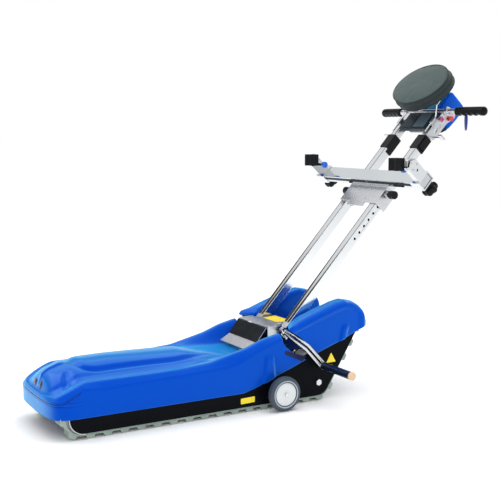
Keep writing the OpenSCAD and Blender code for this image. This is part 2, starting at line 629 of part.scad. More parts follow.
module star_knob(side) color([0.05, 0.05, 0.06]) flip(side) at_mast(knob_x, bar_u, 0) {
    translate([0, 0, -36]) linear_extrude(26) difference() {
        circle(r = star_r, $fn = fine);
        for (a = [30 : 60 : 330]) rotate(a) translate([star_r + 3, 0]) circle(r = 8, $fn = 24);
    }
    translate([0, 0, -11]) cylinder(r = 12, h = 11, $fn = fine);
    translate([0, 0, -1]) cylinder(r = 5, h = 5.7, $fn = fine);
}

// Soft block with a groove for the wheelchair's tube, and the lug that turns on the arm's hinge rod
module arm_pad(side) color([0.05, 0.05, 0.06]) flip(side) translate(mast_point(0, bar_u, hinge_back - arm_front))
    difference() {
        union() {
            block(pad_x0, pad_x0 + pad_size, -hinge_back - pad_size + 6, -hinge_back, -pad_size / 2, pad_size / 2);
            block(pad_x0 + pad_size - 12, pad_x0 + pad_size, -hinge_back - 1, 9, -9, 9);
        }
        translate([pad_x0 + pad_size * 0.42, -hinge_back - pad_size - 4, -pad_size])
            cylinder(r = 20, h = pad_size * 2, $fn = fine);
        rod_x(200, 300, 6 + eps);
    }

module plunger(side) color([0.05, 0.3, 0.8]) flip(side) at_mast(0, bar_u, plunger_back - arm_front) {
    rod_x(256, arm_x1 - 2, 5);
    rod_x(236, 256, 12);
}

// ---- upper mast and head ----

tube_w = rail_w - 2 * rail_wall - 1;
tube_d = rail_d - 2 * rail_wall - 1;

module upper_tubes() color([0.86, 0.87, 0.88]) both() tube(rail_x, 600, 1000, tube_w, tube_d, 2);

plate_in = rail_x + tube_w / 2 + 0.1;
grip_start = 160;
bar_r = 11;
bar_mid = mast_point(0, 1012, 12);
grip_far = [bar_end, bar_mid[1] + 22, bar_mid[2]];
grip_near = [plate_in + 13, bar_mid[1], bar_mid[2]];

module head_plates() color([0.88, 0.89, 0.9]) {
    wire_clips();
    head_sides();
    rocker_ears();
}

module head_sides() difference() {
    both() at_mast() slab_x(plate_in, plate_in + 4)
        polygon([[888, -2], [1030, -2], [1036, -12], [1038, -52], [1024, -60], [1006, -54], [984, -46], [900, -44],
            [888, -36]]);
    translate([0, bar_mid[1], bar_mid[2]]) rod_x(-140, 140, bar_r + eps);
    at_mast() both() translate([0, 920, -24]) {
        rod_x(80, 140, 6);
        translate([0, 16, 0]) rod_x(80, 140, 6);
        block(80, 140, 0, 16, -6, 6);
    }
    at_mast() translate([0, 1006, -43]) rod_x(80, 140, 4.5);
}

// Thumb screws that clamp the head plates
module thumb_screws() color([0.8, 0.81, 0.83]) at_mast() both() translate([0, 898, -28]) {
    rod_x(plate_in + 4, plate_in + 52, 4);
    block(plate_in + 46, plate_in + 66, -3, 3, -12, 12);
}

plate_gap = rail_x - tube_w / 2 - 0.1;

module control_box() color([0.16, 0.2, 0.24]) at_mast() {
    block(-plate_gap, plate_gap, 914, 996, -12, 2);
    block(2, 70, 918, 992, 1, 6);
    block(-plate_gap, plate_gap, 926, 996, -20, -11);
    slab_x(-housing_x + 2, housing_x - 2) polygon([[932, -19], [989.5, -19], [989.5, -88], [964, -75], [940, -48]]);
}

module control_housing() color([0.05, 0.3, 0.8]) difference() {
    at_mast() slab_x(-housing_x, housing_x) polygon([for (p = housing) [p[0], -p[1]]]);
    at_mast() block(-80, 80, 900, 998, -21, 20);
    translate([0, bar_mid[1], bar_mid[2]]) rod_x(-90, 90, bar_r + eps);
}

// Straight bar with a collar at each side, where the swept-back ends begin
module handlebar() color([0.8, 0.8, 0.82]) {
    translate([0, bar_mid[1], bar_mid[2]]) {
        rod_x(-grip_near[0], grip_near[0], bar_r);
        both() rod_x(grip_near[0] - 6, grip_near[0] + 6, bar_r + 3);
    }
    both() bar(grip_near, grip_far, bar_r);
}

// Grip with four finger grooves
module grips() color([0.05, 0.05, 0.06]) both() {
    d = grip_far - grip_near;
    lead = (grip_start - grip_near[0]) / d[0] * norm(d);
    long = norm(d) - lead + 6;
    translate(grip_near) rotate([0, 90, atan2(d[1], d[0])]) translate([0, 0, lead]) difference() {
        rotate_extrude($fn = fine) polygon(concat([[0, 0], [grip_d / 2 - 3, 0], [grip_d / 2, 4]],
            [for (k = [0 : 3], a = [0 : 45 : 135]) [grip_d / 2 - 2.4 * sin(a), 12 + (k + a / 180) * (long - 30) / 4]],
            [[grip_d / 2, long - 18], [grip_d / 2 - 3, long - 6], [grip_d / 2 - 8, long], [0, long]]));
        translate([0, 0, -1]) cylinder(r = bar_r + eps, h = norm(d) - lead + 1 + eps, $fn = fine);
    }
}

module stop_button() color([0.85, 0.05, 0.12]) at_mast() translate([0, 1006, -43]) {
    rod_x(plate_in - 8, plate_in + 8, 4);
    rod_x(plate_in + 8, plate_in + 17, 9);
}

rocker_x = plate_in + 8.5;
rocker_u = 974;
rocker_w = 13;

// Two ears on the right-hand plate that hold the rocker's pin
module rocker_ears() at_mast(0, rocker_u, rocker_w) difference() {
    for (v = [-10, 8]) block(plate_in + 3, rocker_x + 3, v, v + 2, -4, 4);
    translate([rocker_x, 0, 0]) rotate([90, 0, 0]) cylinder(r = 2 + eps, h = 30, center = true, $fn = fine);
}

module drive_rocker() color([0.7, 0.1, 0.35]) at_mast(rocker_x, rocker_u, rocker_w) rotate([90, 0, 0]) {
    cylinder(r = 2, h = 20, center = true, $fn = fine);
    linear_extrude(15, center = true) polygon([[-1, -7], [3, -8], [4.5, -7], [3, 0], [4.5, 7], [3, 8], [-1, 7]]);
}

module wrist_strap() color([0.12, 0.25, 0.6]) translate([205, grip_near[1] + 11, 0]) difference() {
    slab_x(-6, 6) polygon([[-9, 990], [9, 990], [10, 945], [6, 935], [0, 931], [-6, 935], [-10, 945]]);
    slab_x(-8, 8) polygon([[-7, 1000], [7, 1000], [8, 946], [4, 938], [0, 934], [-4, 938], [-8, 946]]);
}

pad_u = 1064;
pad_w0 = -98;

wire_x = rail_x + 7;
wire_r = 3;
wire_w = -5;

// Blocks on the upper tubes that the headrest's wires slide in
module wire_clips() at_mast() both() difference() {
    block(wire_x - 7, wire_x + 7, 938, 964, -3, 5 + wire_r + 2);
    translate([wire_x, 930, -wire_w]) rotate([-90, 0, 0]) cylinder(r = wire_r + eps, h = 50, $fn = fine);
}

// Wire frame of the headrest: two bent rods and the board behind the pad
module headrest_frame() color([0.8, 0.81, 0.83]) {
    both() bent_bar([mast_point(wire_x, 898, wire_w), mast_point(wire_x, 972, wire_w),
        mast_point(wire_x, 1006, -32), mast_point(wire_x, 1068, -32)], wire_r);
    at_mast() both() block(88, wire_x + 7, 1058, 1078, 25, 38);
    at_mast() difference() {
        block(-92, 92, 1004, 1104, 35, 38);
        for (x = [-40, 40], u = [1025, 1075]) translate([x, u, 30]) cylinder(r = 3, h = 10, $fn = fine);
    }
}

// Closed solid through a stack of rings with as many points each
module stack(rings) {
    n = len(rings);
    m = len(rings[0]);
    polyhedron(points = [for (r = rings) each r], faces = concat(
        [for (i = [0 : n - 2], j = [0 : m - 1]) let (k = (j + 1) % m) each [
            [i * m + j, (i + 1) * m + k, i * m + k], [i * m + j, (i + 1) * m + j, (i + 1) * m + k]]],
        [for (j = [1 : m - 2]) [0, j, j + 1]],
        [for (j = [1 : m - 2]) [(n - 1) * m, (n - 1) * m + j + 1, (n - 1) * m + j]]));
}

module headrest_pad() color([0.22, 0.26, 0.25]) at_mast(0, pad_u, pad_w0 + pad_t)
    stack([for (s = [[0, 0.9], [6, 0.97], [16, 1], [pad_t - 18, 1], [pad_t - 7, 0.97], [pad_t - 1.5, 0.9], [pad_t, 0.8]])
        [for (a = [0 : 10 : 350]) [pad_w / 2 * s[1] * cos(a), pad_h / 2 * s[1] * sin(a), s[0]]]]);

place() chassis_floor();
place() cheek_plates();
place() side_plates();
place() front_cover();
place() lobe(1);  // rear_cover_right
place() lobe(-1);  // rear_cover_left
place() recess_deck();
place() rear_panel();
place() belt(1);  // track_belt_right
place() belt(-1);  // track_belt_left
place() track_guides();
place() drive_axle();
place() drive_sprockets();
place() front_idlers();
place() upper_idlers();
place() press_rollers();
place() chassis_pins();
place() drive_motor();
place() gearbox();
place() battery_pack();
place() control_board();
place() swing_frame();
place() tyre(1);  // tyre_right
place() tyre(-1);  // tyre_left
place() hub(1);  // hub_right
place() hub(-1);  // hub_left
place() pedal_shaft();
place() tilt_pawl();
place() pedal_arm();
place() pedal_sleeve();
place() pedal_end_cap();
place() ramp_plate();
place() foot_plate();
place() mast_bracket();
place() mast_pin();
place() rail(1);  // rail_right
place() rail(-1);  // rail_left
place() rail_foot();
place() rail_clamps();
place() carriage();
place() carriage_knob(1);  // carriage_knob_right
place() carriage_knob(-1);  // carriage_knob_left
place() crossbar();
place() arm(1);  // arm_right
place() arm(-1);  // arm_left
place() star_knob(1);  // star_knob_right
place() star_knob(-1);  // star_knob_left
place() arm_pad(1);  // arm_pad_right
place() arm_pad(-1);  // arm_pad_left
place() plunger(1);  // plunger_right
place() plunger(-1);  // plunger_left
place() upper_tubes();
place() head_plates();
place() thumb_screws();
place() control_box();
place() control_housing();
place() handlebar();
place() grips();
place() stop_button();
place() drive_rocker();
place() wrist_strap();
place() headrest_frame();
place() headrest_pad();
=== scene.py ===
"""Looks of a tracked stair climber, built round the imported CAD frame.

Sizes are millimetres in two working frames: the base frame (X from the base's middle plane, Y from the mast's
datum, Z up) and the mast frame (X, U along the mast, W behind the front face of its rails). base() and mast()
turn them into metres in the row frame.
"""

import math

import bmesh
import bpy
import numpy as np
from mathutils import Matrix, Vector


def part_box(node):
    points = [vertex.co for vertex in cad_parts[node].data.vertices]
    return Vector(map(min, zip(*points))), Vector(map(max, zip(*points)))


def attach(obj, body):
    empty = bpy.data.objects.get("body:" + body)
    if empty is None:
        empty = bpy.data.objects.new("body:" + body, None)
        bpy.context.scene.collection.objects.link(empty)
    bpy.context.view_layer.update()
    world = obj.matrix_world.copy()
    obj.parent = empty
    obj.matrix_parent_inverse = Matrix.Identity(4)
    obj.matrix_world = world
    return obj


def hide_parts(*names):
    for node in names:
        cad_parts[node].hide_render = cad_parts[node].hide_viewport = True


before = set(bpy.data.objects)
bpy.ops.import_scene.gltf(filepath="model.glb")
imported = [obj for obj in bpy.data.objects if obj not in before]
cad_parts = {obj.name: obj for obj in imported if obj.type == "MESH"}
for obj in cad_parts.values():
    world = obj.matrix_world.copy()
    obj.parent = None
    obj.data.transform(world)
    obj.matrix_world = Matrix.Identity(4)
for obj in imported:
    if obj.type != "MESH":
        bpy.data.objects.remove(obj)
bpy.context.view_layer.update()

# ---- frames of reference ----

MM = 0.001
SIDES = ((1, "right"), (-1, "left"))
NOSE_Y = -952
MAST_ANGLE = math.radians(47.5)
MAST_FOOT = (0, -68, 270.6)
RAIL_X0, RAIL_X1 = 72, 106
BAR_LOW_U = 629
plate_lo, plate_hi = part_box("side_plates")
SHIFT_X = (plate_lo.x + plate_hi.x) / 2
SHIFT_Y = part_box("front_cover")[0].y - NOSE_Y * MM
CA, SA = math.cos(MAST_ANGLE), math.sin(MAST_ANGLE)


def base(x, y, z):
    return Vector((x * MM + SHIFT_X, y * MM + SHIFT_Y, z * MM))


def mast(x, u, w):
    return base(x, MAST_FOOT[1] + u * CA + w * SA, MAST_FOOT[2] + u * SA - w * CA)


MAST_AXES = Matrix(((1, 0, 0), (0, CA, -SA), (0, SA, CA)))  # columns: X, along the mast, out of its front
MAST_FRONT = (MAST_AXES @ Vector((0, 0, 1))).normalized()


# ---- camera, floor and light ----


def make_camera():
    azimuth, pitch = math.radians(59.98), math.radians(7.217)
    data = bpy.data.cameras.new("camera")
    data.lens = 69.65
    data.clip_end = 60
    camera = bpy.data.objects.new("camera", data)
    camera.location = base(2911.8, -1845.0, 950)
    look = Vector((-math.sin(azimuth) * math.cos(pitch), math.cos(azimuth) * math.cos(pitch), -math.sin(pitch)))
    camera.rotation_euler = look.to_track_quat("-Z", "Y").to_euler()
    bpy.context.scene.collection.objects.link(camera)
    bpy.context.scene.camera = camera


def area_light(name, place, target, size, power, mirrored=True):
    data = bpy.data.lights.new(name, "AREA")
    data.shape = "RECTANGLE"
    data.size, data.size_y = size
    data.energy = power
    light = bpy.data.objects.new(name, data)
    light.location = place
    light.visible_glossy = mirrored
    light.rotation_euler = (Vector(target) - Vector(place)).to_track_quat("-Z", "Y").to_euler()
    bpy.context.scene.collection.objects.link(light)


def make_studio():
    scene = bpy.context.scene
    scene.view_settings.view_transform = "Standard"
    area_light("key", (-1.6, -1.8, 3.2), (0, 0, 0.3), (2.4, 2.4), 30)
    area_light("top", (0.5, 0.3, 4.2), (0, 0, 0), (3.2, 3.2), 66, mirrored=False)
    area_light("side", (3.2, -1.2, 1.9), (0, 0, 0.4), (1.6, 2.2), 14)
    area_light("back", (-0.8, 3.0, 2.6), (0, 0.3, 0.6), (2.4, 1.4), 20)
    world = bpy.data.worlds.new("studio")
    scene.world = world
    world.use_nodes = True
    t = world.node_tree
    t.nodes.clear()
    out = t.nodes.new("ShaderNodeOutputWorld")
    seen = t.nodes.new("ShaderNodeBackground")
    seen.inputs[0].default_value = (1, 1, 1, 1)
    seen.inputs[1].default_value = 1.0
    lit = t.nodes.new("ShaderNodeBackground")
    lit.inputs[1].default_value = 0.92
    ways = t.nodes.new("ShaderNodeTexCoord")
    split = t.nodes.new("ShaderNodeSeparateXYZ")
    t.links.new(ways.outputs["Generated"], split.inputs[0])
    ramp = t.nodes.new("ShaderNodeValToRGB")
    ramp.color_ramp.interpolation = "EASE"
    bands = ((0.0, 0.85), (0.22, 0.95), (0.3, 0.14), (0.44, 0.1), (0.5, 0.75), (0.57, 0.98), (0.8, 0.9), (1.0, 0.72))
    elements = ramp.color_ramp.elements
    elements[0].position, elements[0].color = bands[0][0], (bands[0][1],) * 3 + (1,)
    elements[1].position, elements[1].color = bands[-1][0], (bands[-1][1],) * 3 + (1,)
    for place, level in bands[1:-1]:
        elements.new(place).color = (level, level, level * 1.02, 1)
    t.links.new(split.outputs["Z"], ramp.inputs[0])
    t.links.new(ramp.outputs[0], lit.inputs[0])
    path = t.nodes.new("ShaderNodeLightPath")
    glossy = t.nodes.new("ShaderNodeMixShader")
    plain = t.nodes.new("ShaderNodeBackground")
    plain.inputs[0].default_value = (0.97, 0.98, 1, 1)
    plain.inputs[1].default_value = 0.86
    t.links.new(path.outputs["Is Glossy Ray"], glossy.inputs[0])
    t.links.new(plain.outputs[0], glossy.inputs[1])
    t.links.new(lit.outputs[0], glossy.inputs[2])
    camera = t.nodes.new("ShaderNodeMixShader")
    t.links.new(path.outputs["Is Camera Ray"], camera.inputs[0])
    t.links.new(glossy.outputs[0], camera.inputs[1])
    t.links.new(seen.outputs[0], camera.inputs[2])
    t.links.new(camera.outputs[0], out.inputs[0])


def make_floor():
    mesh = bpy.data.meshes.new("floor")
    r = 60
    mesh.from_pydata([(-r, -r, 0), (r, -r, 0), (r, r, 0), (-r, r, 0)], [], [(0, 1, 2, 3)])
    floor = bpy.data.objects.new("floor", mesh)
    bpy.context.scene.collection.objects.link(floor)
    paint = material("floor_paint", (0.98, 0.98, 0.98), 0.9, vary=0.0, spec=0.0)
    t = paint.node_tree
    shader = t.nodes["Principled BSDF"].inputs
    shader["Emission Color"].default_value = (0.97, 0.985, 1, 1)
    where = t.nodes.new("ShaderNodeTexCoord")
    away = t.nodes.new("ShaderNodeVectorMath")
    away.operation = "LENGTH"
    t.links.new(where.outputs["Object"], away.inputs[0])
    glow = t.nodes.new("ShaderNodeMapRange")
    for key, value in (("From Min", 1.1), ("From Max", 3.2), ("To Min", 0.0), ("To Max", 0.19)):
        glow.inputs[key].default_value = value
    t.links.new(away.outputs["Value"], glow.inputs["Value"])
    t.links.new(glow.outputs[0], shader["Emission Strength"])
    mesh.materials.append(paint)


# ---- materials ----

made_materials = {}


def material(name, color, rough, metal=0.0, coat=0.0, vary=0.12, grain=60, bump=None, streak=None, sheen=0.0,
             dust=None, weave=None, spec=0.5, tint=(1, 1, 1)):
    """A material whose colour and roughness vary with noise.

    spec and tint are the strength and colour of its mirror-like reflection.
    bump is (scale, strength) of fine noise; streak is (stretch along X, Y, Z) of brushed lines; dust is a second
    colour that gathers in patches; weave is the thread spacing in mm.
    """
    if name in made_materials:
        return made_materials[name]
    m = bpy.data.materials.new(name)
    m.use_nodes = True
    t = m.node_tree
    link = t.links.new
    shader = t.nodes["Principled BSDF"]
    shader.inputs["Metallic"].default_value = metal
    shader.inputs["Coat Weight"].default_value = coat
    shader.inputs["Coat Roughness"].default_value = 0.06
    shader.inputs["Specular IOR Level"].default_value = spec
    shader.inputs["Specular Tint"].default_value = tint + (1,)
    shader.inputs["Sheen Weight"].default_value = sheen
    where = t.nodes.new("ShaderNodeTexCoord")

    def noise(scale, detail=4.0, stretch=(1, 1, 1)):
        n = t.nodes.new("ShaderNodeTexNoise")
        n.inputs["Scale"].default_value = scale
        n.inputs["Detail"].default_value = detail
        mapping = t.nodes.new("ShaderNodeMapping")
        mapping.inputs["Scale"].default_value = stretch
        link(where.outputs["Object"], mapping.inputs[0])
        link(mapping.outputs[0], n.inputs["Vector"])
        return n.outputs["Fac"]

    def spread(fac, low, high):
        n = t.nodes.new("ShaderNodeMapRange")
        n.inputs["From Min"].default_value = 0.3
        n.inputs["From Max"].default_value = 0.7
        n.inputs["To Min"].default_value = low
        n.inputs["To Max"].default_value = high
        link(fac, n.inputs["Value"])
        return n.outputs[0]

    def mix(fac, first, second):
        n = t.nodes.new("ShaderNodeMix")
        n.data_type = "RGBA"
        if isinstance(fac, float):
            n.inputs["Factor"].default_value = fac
        else:
            link(fac, n.inputs["Factor"])
        for key, value in (("A", first), ("B", second)):
            socket = [s for s in n.inputs if s.name == key and s.type == "RGBA"][0]
            if isinstance(value, tuple):
                socket.default_value = value + (1,)
            else:
                link(value, socket)
        return [s for s in n.outputs if s.type == "RGBA"][0]

    dark = tuple(c * (1 - vary) for c in color)
    light = tuple(min(1.0, c * (1 + vary)) for c in color)
    shade = mix(spread(noise(grain * 0.12), 0.0, 1.0), dark, light)
    if dust:
        shade = mix(spread(noise(grain * 0.35, 8.0), 0.0, 0.55), shade, dust)
    rough_value = spread(noise(grain, 6.0), max(0.02, rough * (1 - vary)), min(1.0, rough * (1 + vary)))
    heights = []
    if bump:
        heights.append((noise(bump[0], 3.0), bump[1]))
    if streak:
        lines = noise(220, 2.0, streak)
        heights.append((lines, 0.02))
        rough_value = spread(lines, rough * 0.7, rough * 1.4)
    if weave:
        for axis in ("X", "Y"):
            wave = t.nodes.new("ShaderNodeTexWave")
            wave.bands_direction = axis
            wave.inputs["Scale"].default_value = 1000 / weave / 6.28
            wave.inputs["Distortion"].default_value = 0.4
            wave.inputs["Detail"].default_value = 1.0
            link(where.outputs["Object"], wave.inputs["Vector"])
            heights.append((wave.outputs["Fac"], 0.16))
            shade = mix(spread(wave.outputs["Fac"], 0.0, 0.25), shade, tuple(c * 1.6 for c in color))
    link(shade, shader.inputs["Base Color"])
    link(rough_value, shader.inputs["Roughness"])
    last = None
    for height, strength in heights:
        n = t.nodes.new("ShaderNodeBump")
        n.inputs["Strength"].default_value = strength
        n.inputs["Distance"].default_value = 0.002
        link(height, n.inputs["Height"])
        if last:
            link(last, n.inputs["Normal"])
        last = n.outputs[0]
    if last:
        link(last, shader.inputs["Normal"])
    made_materials[name] = m
    return m


def blue_gloss():
    """Glossy blue plastic whose surface turns lighter and greener where it is seen at a low angle."""
    m = material("blue_gloss", (0.0006, 0.038, 0.47), 0.16, vary=0.04, grain=30, bump=(260, 0.008), spec=0.55,
                 tint=(0.02, 0.35, 1.0), sheen=0.9)
    shader = m.node_tree.nodes["Principled BSDF"].inputs
    shader["Sheen Tint"].default_value = (0.05, 0.62, 1, 1)
    shader["Sheen Roughness"].default_value = 0.52
    return m


def polished():
    return material("polished", (0.72, 0.735, 0.745), 0.12, metal=1.0, vary=0.03, grain=40, bump=(500, 0.006))


def polished_mast():
    return material("polished_mast", (0.76, 0.78, 0.785), 0.13, metal=1.0, vary=0.03, grain=40,
                    streak=(9, 0.35, 0.35))


def satin_sheet():
    return material("satin_sheet", (0.64, 0.655, 0.67), 0.3, metal=1.0, vary=0.06, grain=50, streak=(0.3, 7, 7))


def black_plastic():
    return material("black_plastic", (0.005, 0.0055, 0.006), 0.36, vary=0.15, grain=90, bump=(700, 0.05), spec=0.16)


def soft_black():
    return material("soft_black", (0.006, 0.0068, 0.0075), 0.5, vary=0.18, grain=80, bump=(900, 0.12),
                    dust=(0.012, 0.0135, 0.0145), spec=0.14)


def bright_steel():
    return material("bright_steel", (0.66, 0.67, 0.69), 0.2, metal=1.0, vary=0.06, grain=70, bump=(600, 0.02))


def track_rubber():
    return material("track_rubber", (0.27, 0.34, 0.30), 0.75, vary=0.14, grain=120, bump=(500, 0.22),
                    dust=(0.4, 0.46, 0.42), spec=0.2)


def plate_black():
    return material("side_plate_coat", (0.0016, 0.0022, 0.0038), 0.4, vary=0.16, grain=50, bump=(1100, 0.04),
                    dust=(0.0028, 0.0036, 0.0052), spec=0.06)


def deck_blue():
    return material("deck_blue", (0.0008, 0.008, 0.06), 0.3, vary=0.1, bump=(300, 0.03), spec=0.2, tint=(0.1, 0.4, 1))


def inner_steel():
    return material("inner_steel", (0.03, 0.032, 0.036), 0.45, vary=0.2, bump=(800, 0.08))


def cast_alloy():
    return material("cast_alloy", (0.3, 0.31, 0.32), 0.5, metal=0.8, vary=0.2, bump=(400, 0.2))


NODE_LOOKS = {
    "chassis_floor": inner_steel,
    "cheek_plates": inner_steel,
    "side_plates": plate_black,
    "chassis_pins": plate_black,
    "recess_deck": deck_blue,
    "rear_panel": deck_blue,
    "tilt_pawl": bright_steel,
    "track_belt_right": track_rubber,
    "track_belt_left": track_rubber,
    "track_guides": lambda: material("guide_plastic", (0.7, 0.7, 0.66), 0.5, vary=0.1, bump=(300, 0.05)),
    "drive_axle": bright_steel,
    "mast_pin": bright_steel,
    "pedal_shaft": bright_steel,
    "handlebar": bright_steel,
    "thumb_screws": bright_steel,
    "headrest_frame": lambda: material("wire", (0.8, 0.81, 0.82), 0.14, metal=1.0, vary=0.05, bump=(500, 0.01)),
    "swing_frame": bright_steel,
    "drive_sprockets": cast_alloy,
    "front_idlers": cast_alloy,
    "upper_idlers": cast_alloy,
    "press_rollers": lambda: material("roller", (0.5, 0.5, 0.48), 0.5, vary=0.1, bump=(300, 0.05)),
    "drive_motor": lambda: material("motor_coat", (0.03, 0.03, 0.033), 0.4, vary=0.2, bump=(700, 0.1)),
    "gearbox": lambda: material("cast_gearbox", (0.45, 0.45, 0.47), 0.55, metal=0.9, vary=0.2, bump=(350, 0.25)),
    "battery_pack": black_plastic,
    "control_board": lambda: material("solder_mask", (0.01, 0.1, 0.05), 0.35, vary=0.2, bump=(400, 0.1)),
    "pedal_arm": polished,
    "pedal_sleeve": lambda: material("sleeve_navy", (0.004, 0.009, 0.03), 0.3, coat=0.2, spec=0.3, vary=0.15, grain=80,
                                     bump=(900, 0.05)),
    "pedal_end_cap": lambda: material("cap_beige", (0.72, 0.5, 0.32), 0.45, vary=0.08, bump=(500, 0.05)),
    "ramp_plate": satin_sheet,
    "foot_plate": satin_sheet,
    "mast_bracket": lambda: material("bracket_coat", (0.03, 0.031, 0.034), 0.4, vary=0.2, bump=(800, 0.08)),
    "rail_foot": lambda: material("foot_steel", (0.08, 0.082, 0.088), 0.35, metal=0.7, vary=0.2, bump=(500, 0.05)),
    "rail_right": polished_mast,
    "rail_left": polished_mast,
    "upper_tubes": polished_mast,
    "rail_clamps": black_plastic,
    "carriage": satin_sheet,
    "carriage_knob_right": black_plastic,
    "carriage_knob_left": black_plastic,
    "crossbar": lambda: material("polished_bar", (0.68, 0.72, 0.73), 0.12, metal=1.0, vary=0.03, grain=40,
                                 streak=(0.3, 9, 9)),
    "arm_right": polished,
    "arm_left": polished,
    "head_plates": satin_sheet,
    "control_box": lambda: material("box_grey", (0.013, 0.026, 0.034), 0.32, spec=0.14, vary=0.12, grain=80,
                                    bump=(900, 0.07)),
    "stop_button": lambda: material("button_red", (0.75, 0.01, 0.035), 0.25, coat=0.8, vary=0.06, bump=(400, 0.02)),
    "drive_rocker": lambda: material("rocker_magenta", (0.42, 0.02, 0.17), 0.3, coat=0.5, vary=0.08,
                                     bump=(500, 0.03)),
}


def dress_cad_nodes():
    """Materials, rounded edges and smooth shading for the CAD nodes that stay."""
    for name, look in NODE_LOOKS.items():
        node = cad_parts[name]
        node.data.materials.clear()
        node.data.materials.append(look())
        soften(node, 0.0006 if name.startswith(("track", "control_board", "drive_rocker")) else 0.0009)


def soften(obj, width):
    if "custom_normal" in obj.data.attributes:
        obj.data.attributes.remove(obj.data.attributes["custom_normal"])
    obj.data.polygons.foreach_set("use_smooth", [True] * len(obj.data.polygons))
    weld = obj.modifiers.new("weld", "WELD")
    weld.merge_threshold = 1e-5
    bevel = obj.modifiers.new("bevel", "BEVEL")
    bevel.width = width
    bevel.segments = 2
    bevel.limit_method = "ANGLE"
    bevel.angle_limit = math.radians(38)
    bevel.harden_normals = False
    normals = obj.modifiers.new("normals", "WEIGHTED_NORMAL")
    normals.weight = 60


# ---- mesh tools ----


def thicken(obj):
    """Gives a skin the wall of a moulded cover, inward."""
    wall = obj.modifiers.new("wall", "SOLIDIFY")
    wall.thickness = 0.003
    wall.offset = -1


def piece(name, verts, faces, look, body, stands_for=(), smooth=True, soft_edge=0.0):
    mesh = bpy.data.meshes.new(name)
    mesh.from_pydata([tuple(v) for v in verts], [], faces)
    mesh.update()
    obj = bpy.data.objects.new(name, mesh)
    bpy.context.scene.collection.objects.link(obj)
    mesh.materials.append(look)
    mesh.polygons.foreach_set("use_smooth", [smooth] * len(mesh.polygons))
    tidy_normals(mesh)
    if soft_edge:
        soften(obj, soft_edge)
    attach(obj, body)
    if stands_for:
        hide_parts(*stands_for)
    return obj


def tidy_normals(mesh):
    b = bmesh.new()
    b.from_mesh(mesh)
    bmesh.ops.remove_doubles(b, verts=b.verts, dist=1e-6)
    bmesh.ops.recalc_face_normals(b, faces=b.faces)
    b.to_mesh(mesh)
    b.free()


def grid_faces(rows, columns, wrap=False):
    """Faces of a grid whose vertices are listed row by row; wrap joins the last column to the first."""
    faces = []
    for i in range(rows - 1):
        for j in range(columns if wrap else columns - 1):
            k = (j + 1) % columns
            faces.append((i * columns + j, i * columns + k, (i + 1) * columns + k, (i + 1) * columns + j))
    return faces


def lofted(rings, caps=True):
    """Vertices and faces of a tube through closed rings with as many points each."""
    n = len(rings[0])
    faces = grid_faces(len(rings), n, wrap=True)
    if caps:
        faces += [tuple(range(n - 1, -1, -1)), tuple((len(rings) - 1) * n + j for j in range(n))]
    return [v for ring in rings for v in ring], faces


def closed_tube(rings):
    """Vertices and faces of a tube whose last ring joins its first."""
    count = len(rings) * len(rings[0])
    faces = [tuple(i % count for i in face) for face in grid_faces(len(rings) + 1, len(rings[0]), wrap=True)]
    return [v for ring in rings for v in ring], faces


def turned(profile, centre, steps):
    """Rings of a profile [(along, radius), ...] turned about X through centre."""
    rings = []
    for along, radius in profile:
        ring = []
        for k in range(steps):
            a = math.tau * k / steps
            ring.append(centre + Vector((along, radius * math.cos(a), radius * math.sin(a))) * MM)
        rings.append(ring)
    return rings


def slab(outline, thickness, put):
    """Flat plate: an outline of (a, b) points, put(a, b, c) gives the place of each, c from 0 to thickness."""
    n = len(outline)
    verts = [put(a, b, 0) for a, b in outline] + [put(a, b, thickness) for a, b in outline]
    faces = [tuple(range(n - 1, -1, -1)), tuple(range(n, 2 * n))]
    faces += [(i, (i + 1) % n, n + (i + 1) % n, n + i) for i in range(n)]
    return verts, faces


def rounded(points, radius, steps=6):
    """A polygon with its corners rounded."""
    out = []
    n = len(points)
    for i in range(n):
        p = Vector(points[i])
        a = Vector(points[i - 1]) - p
        b = Vector(points[(i + 1) % n]) - p
        r = min(radius, a.length * 0.45, b.length * 0.45)
        start, end = p + a.normalized() * r, p + b.normalized() * r
        for k in range(steps + 1):
            t = k / steps
            out.append(tuple(start * (1 - t) ** 2 + p * 2 * t * (1 - t) + end * t * t))
    return out


def ease(value, low, high):
    t = min(1.0, max(0.0, (value - low) / (high - low)))
    return t * t * (3 - 2 * t)


def smooth_lookup(table, width=22):
    """A function that reads a table of (y, value) with its corners rounded over width."""
    ys, values = zip(*table)
    steps = np.linspace(-1, 1, 9)
    weights = 1 - steps ** 2 + 0.05

    def read(y):
        return float(np.average(np.interp(y + width * steps, ys, values), weights=weights))
    return read


def spline(points, count):
    """Catmull-Rom curve through points, sampled evenly by its parameter."""
    p = [Vector(q) for q in points]
    p = [p[0] * 2 - p[1]] + p + [p[-1] * 2 - p[-2]]
    out = []
    spans = len(p) - 3
    for k in range(count):
        s = min(spans - 1e-6, spans * k / (count - 1))
        i = int(s)
        t = s - i
        a, b, c, d = p[i:i + 4]
        out.append(0.5 * ((2 * b) + (c - a) * t + (2 * a - 5 * b + 4 * c - d) * t * t
                          + (3 * b - a - 3 * c + d) * t ** 3))
    return out


# ---- blue covers ----

